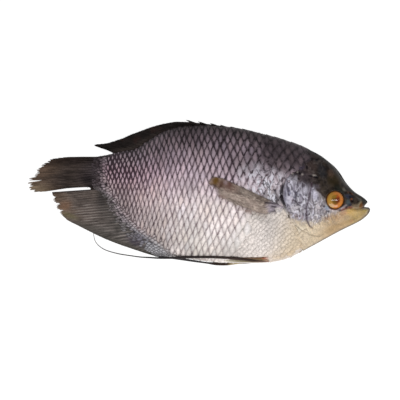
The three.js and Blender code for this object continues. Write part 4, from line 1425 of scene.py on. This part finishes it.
# The tips of the hard rays: x, and how far each stands off the folded fin.
SPINE_TIPS = ((-13, 1.5), (-1, 1.1), (11, 1.0), (21, 0.9), (32, 0.8), (43, 0.7))
SPINE_LENGTH = 15
SPINE_HEIGHT = 23.2


def make_spines(material):
    """Tips of the hard rays, which stand a little off the front of the folded dorsal fin."""
    ridge = through([(-20, 72.4), (-12, 71.6), (-1, 70.4), (13, 68.6), (23, 67), (36, 65), (60, 60.6)])
    radius = through([(0, 0.15), (0.2, 0.7), (1, 1.1)])
    tone = ramp([(0, 26, 23, 23), (1, 50, 44, 42)])
    rods = []
    for tip_x, proud in SPINE_TIPS:
        places = [(tip_x + SPINE_LENGTH * k, proud * (1 - k) - 2.6 * k) for k in (0, 0.35, 0.7, 1)]
        route = [(x, float(ridge(x)) + rise, SPINE_HEIGHT) for x, rise in places]
        rods.append(rod(route, radius, 8, 24, tone))
    return join_rods("dorsal_spines", rods, material)


# The lower margin of the pectoral fin, where it is thin.
PECTORAL_MARGIN = [(13.5, 3.5), (19, -5), (30, -13.5), (45, -20.5), (64, -26.5), (74, -24)]
# Patches of colour on it, and painted shade in the folds at its base.
PECTORAL_PATCHES = [
    ((116, 86, 76), 0.75, (29, 7), (9, 4.5), -0.4),
    ((126, 98, 80), 0.8, (15.5, 11), (8, 6), 0),
    ((98, 70, 20), 0.9, (16.6, 12), (2.6, 4.4), -0.3),
    ((160, 142, 140), 0.6, (10.4, 12.6), (1.6, 2.4), 0),
    ((78, 52, 42), 0.8, (21.6, 8), (1.6, 5), -0.4),
    ((72, 48, 42), 0.7, (14.6, 7.6), (3, 0.9), -0.3),
    ((150, 130, 136), 0.7, (26.4, 10.6), (1.7, 2.4), -0.3),
    ((92, 62, 58), 0.75, (30.6, 9), (1.8, 3.4), -0.4),
]
PECTORAL_FOLD_SHADE = [
    [(66, -9.4), (72, -9.9), (78, -10.9), (85, -13)],
    [(68, -20.8), (74, -18), (81, -15.6)],
    [(72, -13.2), (78, -14.2)],
]


def hairs(along, across, seed):
    """Fine streaks along the rays of the pectoral fin, 0 to 1."""
    return ease(noise(0.45 * along, across + noise(along, across, 4, 73), 1.1, seed), 0.1, 0.7)


def pectoral_tones(t, out, x, y, crest):
    """Colour and cover of the thin pectoral fin, through which the flank shows."""
    grain = rough_noise(9 * out, 12 * t, 1, 24)
    wide = rough_noise(x, y, 6, 29)
    along, across = 0.9 * x - 0.45 * y, 0.45 * x + 0.9 * y
    colour = mix(srgb(160, 143, 133), srgb(130, 118, 109), fall(t, 0.0, 0.55))
    colour = colour * (1 + 0.4 * grain + 0.35 * wide)[..., None]
    shaded = 0.6 * fall(out, 0.2, 0.45) * fall(t, 0.4, 0.8)
    colour = mix(colour, srgb(96, 82, 74), shaded)
    colour = mix(colour, srgb(206, 190, 176), 0.55 * hairs(along, across, 71) * ease(t, 0.0, 0.25))
    colour = mix(colour, srgb(84, 68, 62), 0.5 * hairs(along, across, 75))
    colour = lay_patches(colour, x + 0.8 * grain, y + 0.8 * wide, PECTORAL_PATCHES, 0.7)
    blots = ease(noise(x, y, 3.6, 77) + 0.3 * wide, -0.05, 0.5)
    margin = distance_to(x, y, PECTORAL_MARGIN) + 1.5 * wide
    thin = fall(margin + 0.8 * fall(x, 28, 50), 3, 8.5)
    colour = mix(colour, srgb(136, 108, 100), 0.7 * blots * thin)
    base = fall(out + 0.06 * wide, 0.12, 0.24)
    colour = mix(colour, srgb(166, 156, 168) * (1 + 0.6 * grain)[..., None], 0.85 * base)
    # Painted shade in the folds at the fin's base.
    for line in PECTORAL_FOLD_SHADE:
        colour = mix(colour, srgb(44, 36, 42), 0.8 * stroke(x, y, line, 1.0))
    cover = 0.96 - thin * (0.86 - 0.32 * blots)
    cover = np.clip(cover + 0.2 * grain * (1 - base), 0.0, 1)
    edge = ease(margin, 0.0, 4.0) * ease(t, 0.0, 0.02) * ease(1.0 - out, 0.0, 0.04)
    return np.concatenate([colour, (cover * edge)[..., None]], axis=-1)


PECTORAL_HINGE = (82.0, -16.0)


def make_pectoral_fin(name, material, side, turn, seed):
    """A pectoral fin on the flank of one side, turned down about its root."""
    def turned(path):
        def place(t):
            x, y = path(t)
            dx, dy = x - PECTORAL_HINGE[0], y - PECTORAL_HINGE[1]
            c, s = math.cos(turn), math.sin(turn)
            return PECTORAL_HINGE[0] + dx * c - dy * s, PECTORAL_HINGE[1] + dx * s + dy * c
        return place

    root = turned(path_of([(84, -13.8), (79.5, -17), (73, -22)]))
    tip = turned(path_of([
        (23, 14.8), (13, 16.2), (8.5, 11), (13, 5), (19, -5), (30, -13.5), (45, -20.5), (64, -26.5),
    ]))

    def height(t, out, x, y, half):
        skin = skin_height(x, y, side)
        if side > 0:
            rest = skin + 1.3 * ease(out, 0, 0.15)
            return rest - 0.1, rest + 0.15 + half
        return skin - 1.4 - half, skin - 1.2

    return make_fin(name, material, root, tip, height, pectoral_tones, rays=13, seed=seed, half=0.4,
                    pleat=0.14, notch=0.03, samples=14, rings=80, branch_at=(0.3, 0.62), bow=0.004)


# ------------------------------------------------------------------ pelvic fins


def rod(route, radius, sides, steps, tone):
    """Points, faces and colours of a tapering rod along a route of (x, y, z) points."""
    t = np.linspace(0, 1, len(route))
    curves = [through(list(zip(t, [p[k] for p in route]))) for k in range(3)]
    at = np.linspace(0, 1, steps + 1)
    line = np.stack([curve(at) for curve in curves], axis=-1)
    ahead = np.gradient(line, axis=0)
    ahead = ahead / np.linalg.norm(ahead, axis=1, keepdims=True)
    across = np.cross(ahead, (0, 0, 1.0))
    across = across / np.maximum(np.linalg.norm(across, axis=1, keepdims=True), 1e-6)
    above = np.cross(across, ahead)
    angle = 2 * np.pi * np.arange(sides) / sides
    size = radius(at)[:, None, None]
    c, s = np.cos(angle)[None, :, None], np.sin(angle)[None, :, None]
    ring = c * across[:, None, :] + s * above[:, None, :]
    points = (line[:, None, :] + size * ring).reshape(-1, 3)
    faces = grid_faces(steps + 1, sides, wrap=True, flip=True)
    last = steps * sides
    faces.append(list(range(sides)))
    faces.append(list(range(last, last + sides))[::-1])
    tint = np.repeat(tone(at), sides, axis=0)
    return points, faces, tint


def join_rods(name, rods, material):
    """One mesh of several rods."""
    points, faces, tints = [], [], []
    start = 0
    for rod_points, rod_faces, rod_tint in rods:
        points.append(rod_points)
        faces.extend([[k + start for k in face] for face in rod_faces])
        tints.append(rod_tint)
        start += len(rod_points)
    return make_mesh(name, np.concatenate(points), faces, {"tint": np.concatenate(tints)}, material)


PELVIC_FILAMENT = [
    (70, -68.2, 21), (63, -67.5, 25.5), (51, -66.7, 28.8), (40, -65.2, 30), (31, -64.4, 30.6),
    (20, -63.9, 30), (10, -63.6, 28.8), (-9, -63.7, 26), (-24, -64.6, 23.5), (-39, -64.9, 21),
    (-50, -64.5, 15.5), (-59, -64.2, 8.5), (-69, -63, 3.2), (-81, -61.2, 1), (-93, -57.9, 0.9),
    (-100, -54, 0.9), (-104.5, -49, 0.9), (-106.4, -42.5, 1), (-106.8, -36, 2),
]
PELVIC_BUNDLE = [
    (70, -66.5, 17), (52, -69.4, 16), (40, -70, 15.5), (30, -70.8, 15.5), (18, -70.8, 16), (8, -69.8, 16.5),
    (-4, -68.1, 17), (-18, -66, 18), (-31, -64.4, 18.6), (-44, -63.2, 16),
]
PELVIC_RAY_ROOT_X = 69
# The soft rays beside the long one: y where they start and end, x where they end, radius, colours.
PELVIC_RAYS = [
    (-64.7, -64.4, 41, [(0, 0.6), (0.12, 1.1), (0.2, 1.2), (0.35, 0.8), (1, 0.4)],
     [(0, 216, 186, 174), (0.1, 190, 142, 124), (0.16, 146, 88, 66), (0.26, 124, 92, 62),
      (1, 84, 62, 54)]),
    (-66.6, -65.8, 44, [(0, 0.6), (0.2, 1.0), (1, 0.4)],
     [(0, 182, 150, 130), (0.25, 142, 122, 90), (1, 150, 132, 106)]),
    (-67.9, -67.2, 25, [(0, 0.8), (0.3, 1.3), (0.8, 1.4), (1, 0.6)],
     [(0, 128, 100, 84), (0.4, 112, 98, 78), (0.7, 150, 140, 116), (1, 206, 200, 184)]),
]


THREAD_RADIUS = [
    (0, 0.7), (0.06, 1.2), (0.12, 1.1), (0.18, 1.4), (0.24, 1.3), (0.36, 1.25), (0.42, 1.3), (0.47, 0.95),
    (0.53, 0.8), (0.62, 0.62), (0.76, 0.5), (1, 0.28),
]
THREAD_COLOURS = [
    (0, 176, 150, 134), (0.04, 112, 88, 76), (0.09, 62, 48, 42), (0.5, 50, 47, 48), (0.7, 62, 60, 60),
    (0.85, 112, 110, 109), (1, 150, 148, 145),
]
BUNDLE_RADIUS = [
    (0, 0.8), (0.26, 1.1), (0.36, 1.6), (0.46, 1.5), (0.56, 0.9), (0.68, 1.1), (0.8, 1.1), (0.9, 0.8),
    (1, 0.3),
]
BUNDLE_COLOURS = [
    (0, 96, 76, 64), (0.17, 84, 70, 60), (0.22, 166, 152, 122), (0.31, 150, 134, 104), (0.35, 52, 40, 32),
    (0.48, 42, 34, 30), (0.62, 58, 56, 57), (1, 66, 65, 66),
]


def make_pelvic_fins(material):
    """The long thread with its soft rays, laid on the belly's scales, and the bundle of the other fin."""
    laid = [(x, y, max(z, skin_height(x, y) + 1.7) if x > -40 else z) for x, y, z in PELVIC_FILAMENT]
    right = [rod(laid, through(THREAD_RADIUS), 10, 150, ramp(THREAD_COLOURS))]
    for start_y, end_y, end_x, size, colours in PELVIC_RAYS:
        route = []
        for k in (0, 0.25, 0.5, 0.75, 1):
            x = PELVIC_RAY_ROOT_X + (end_x - PELVIC_RAY_ROOT_X) * k
            y = start_y + (end_y - start_y) * k
            route.append((x, y, skin_height(x, y) + 0.4))
        right.append(rod(route, through(size), 8, 50, ramp(colours)))
    left = [rod(PELVIC_BUNDLE, through(BUNDLE_RADIUS), 12, 110, ramp(BUNDLE_COLOURS))]
    return join_rods("pelvic_fin_right", right, material), join_rods("pelvic_fin_left", left, material)


# ------------------------------------------------------------------ small scales


def surface_over(pieces):
    """A function that gives the height of the top of some pieces at arrays of (x, y)."""
    trees = []
    for piece in pieces:
        mesh = piece.data
        points = np.empty(3 * len(mesh.vertices), dtype=np.float32)
        mesh.vertices.foreach_get("co", points)
        polygons = [list(polygon.vertices) for polygon in mesh.polygons]
        trees.append(BVHTree.FromPolygons(points.reshape(-1, 3).tolist(), polygons))

    def height(x, y):
        tops = np.zeros(len(x))
        for k in range(len(x)):
            for tree in trees:
                hit = tree.ray_cast((x[k] * MM, y[k] * MM, 0.1), (0, 0, -1))[0]
                if hit is not None:
                    tops[k] = max(tops[k], hit.z / MM)
        return tops

    return height


LOWEST_GROUND = 0.6     # a small scale is left out where a point of it would lie lower
SMALL_SCALE_WEAR = [0.0, 0.0, 0.3]


def make_small_scales(name, material, pieces, places, drawn_in):
    """Small scales lying on other pieces.

    places are (x, y, half length, half height, lift, pale, dark, line) of each. drawn_in scales
    the pattern of a plate along the fish, which leaves less of its dark corners.
    """
    scales = ScaleMesh(SMALL_SPOKES, SMALL_RINGS)
    along, across = scales.template.T
    count = len(along)
    height = surface_over(pieces)
    for x, y, half_length, half_height, lift, pale, dark, line in places:
        px = x + along * half_length
        py = y + across * half_height
        under = height(px, py)
        if under.min() < LOWEST_GROUND:
            continue
        rise = lift * (1 - along) / 2 + 0.12
        rise[scales.skirt:] = -0.5
        scales.add(np.stack([px, py, under + rise], axis=-1), tint=np.tile(pale, (count, 1)),
                   rim=np.tile(dark, (count, 1)), wear=np.tile(SMALL_SCALE_WEAR, (count, 1)),
                   plate=np.stack([drawn_in * along, across, np.full(count, line)], axis=-1))
    return scales.build(name, material)


SHEATH_PALE = ramp([
    (0.0, 104, 90, 96), (0.2, 132, 116, 122), (0.33, 206, 190, 197),
    (0.5, 184, 166, 172), (0.62, 172, 163, 169), (0.75, 158, 157, 165),
    (0.9, 184, 182, 186), (1.0, 204, 201, 202),
])
SHEATH_DARK = ramp([
    (0.0, 36, 29, 32), (0.3, 34, 26, 31), (0.45, 56, 43, 49), (0.62, 68, 60, 67),
    (0.8, 84, 82, 90), (1.0, 124, 121, 122),
])


SHEATH_ROWS = 7


def sheath_places():
    """Scales that get small on the root of the tail and run onto the root of the anal fin."""
    draw = random.Random(53)
    start, end = path_of(FULL_SCALES_END), path_of(SMALL_SCALES_END)
    places = []
    row_at, step = -0.02, 0.23
    for row in range(SHEATH_ROWS):
        columns = round(38 / 0.92**row)
        for column in range(columns):
            t = (column + 0.5 * (row % 2) + draw.uniform(-0.12, 0.12)) / columns
            at = row_at + draw.uniform(-0.02, 0.02)
            (ax, ay), (bx, by) = (float(v) for v in start(t)), (float(v) for v in end(t))
            x, y = ax + (bx - ax) * at, ay + (by - ay) * at
            fade = ease(at + 0.4 * draw.random(), 0.35, 1.15) * (1 - 0.8 * ease(t, 0.6, 0.9))
            if draw.random() < 0.5 * fade:
                continue
            size = draw.uniform(0.85, 1.2)
            long = size * (0.3 + 0.95 * math.hypot(bx - ax, by - ay) * step)
            pale, dark = SHEATH_PALE(t) * (1 + draw.gauss(0, 0.17)), SHEATH_DARK(t)
            near = 0.8 * fall(at, 0.0, 0.5)
            flank_pale, flank_dark = body_tones(x, y)
            pale, dark = mix(pale, flank_pale, near), mix(dark, flank_dark, near)
            violet = blob(x, y, (-62, -46), (9, 5.5), -0.4, 0.6)
            pale = mix(pale, srgb(96, 88, 108), 0.75 * violet)
            ground = mix(srgb(60, 52, 55), srgb(86, 82, 80), ease(t, 0.18, 0.36))
            pale, dark = mix(pale, ground * 1.15, 0.85 * fade), mix(dark, ground * 0.8, 0.85 * fade)
            places.append((x, y, long, size * 84 / columns, 0.2, pale, dark, 0.05))
        row_at += step
        step *= 0.9
    return places


BREAST_COLUMNS = 34
BREAST_ROWS = 14


def breast_places():
    """The small faint scales of the breast, from the flank to the throat."""
    draw = random.Random(59)
    places = []
    for column in range(BREAST_COLUMNS):
        for row in range(BREAST_ROWS):
            y = -71 + 4.4 * (row + 0.5 * (column % 2)) + draw.uniform(-0.9, 0.9)
            x = 20 + 2.6 * column + draw.uniform(-0.9, 0.9)
            plain = draw.random() < 0.4
            fraction = fraction_at(x, y)
            if breast_at(x, y) < 0.6 or not 0.03 < fraction < 0.6:
                continue
            if x > gill_cover_edge(fraction) - 1.0 and (fraction > 0.2 or x > 109):
                continue
            cream = ease(x - 0.3 * y, 78, 112)
            pale = mix(srgb(226, 216, 210), srgb(206, 188, 163), cream) * (1 + draw.gauss(0, 0.045))
            # The breast takes the flank's broad tones too, painted light and shade among them.
            pale = pale * flank_shade(x, y)
            line = ease(rough_noise(x, y, 10, 66), -0.3, 0.5)
            line = line * (0.3 + 0.7 * blob(x, y, (76, -38), (18, 14), 0, 0.6))
            lined = (0.05 + 0.3 * line) * (1 - 0.6 * cream) * (not plain)
            dark = mix(pale * 0.97, srgb(156, 146, 138), lined)
            half_length, half_height = 2.9 * draw.uniform(0.85, 1.2), 3.6 * draw.uniform(0.85, 1.2)
            places.append((x, y, half_length, half_height, 0.02, pale, dark, 0.1 + draw.gauss(0, 0.06)))
    return places


# ------------------------------------------------------------------ the fish

make_camera()
for lamp in LAMPS:
    make_lamp(*lamp)
make_world()
make_floor()

skin = skin_material("moist skin", roughness=0.5, specular=0.3, coat=0.05, grain=520, bump_mm=0.12)
head_skin = skin_material("head skin", roughness=0.42, specular=0.35, coat=0.12, grain=760, bump_mm=0.14,
                          amount=0.2)
scales = scale_material("scales")
fin_skin = skin_material("fin skin", roughness=0.55, specular=0.25, coat=0.03, grain=900, bump_mm=0.08,
                         amount=0.2)
pectoral_skin = skin_material("pectoral fin skin", roughness=0.5, specular=0.25, coat=0.05, grain=900,
                              bump_mm=0.08, see_through=True, amount=0.2)
eye_skin = skin_material("eye", roughness=0.45, specular=0.2, coat=1.0, grain=900, bump_mm=0.0, amount=0.03,
                         coat_roughness=0.03)

trunk = make_trunk(skin)
head = make_head(head_skin)
anal_fin = make_anal_fin(fin_skin)
tail_fin = make_tail_fin(fin_skin)
body_pieces = [
    trunk,
    anal_fin,
    tail_fin,
    head,
    make_small_scales("small_scales_rear", scales, [trunk, anal_fin, tail_fin], sheath_places(), 0.85),
    make_small_scales("small_scales_breast", scales, [trunk, head], breast_places(), 0.5),
    make_scales("scales_right", scales, 1, 7),
    make_scales("scales_left", scales, -1, 8),
    make_dorsal_fin(fin_skin),
    make_spines(fin_skin),
    make_pectoral_fin("pectoral_fin_right", pectoral_skin, 1, 0.0, 41),
    make_pectoral_fin("pectoral_fin_left", pectoral_skin, -1, 0.8, 42),
    *make_pelvic_fins(fin_skin),
]
for piece in body_pieces:
    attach(piece, "root")
    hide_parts("fish")

for name, node, side in (("eyeball_right", "eye_right", 1), ("eyeball_left", "eye_left", -1)):
    eye = make_eye(name, node, side, eye_skin)
    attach(eye, "root")
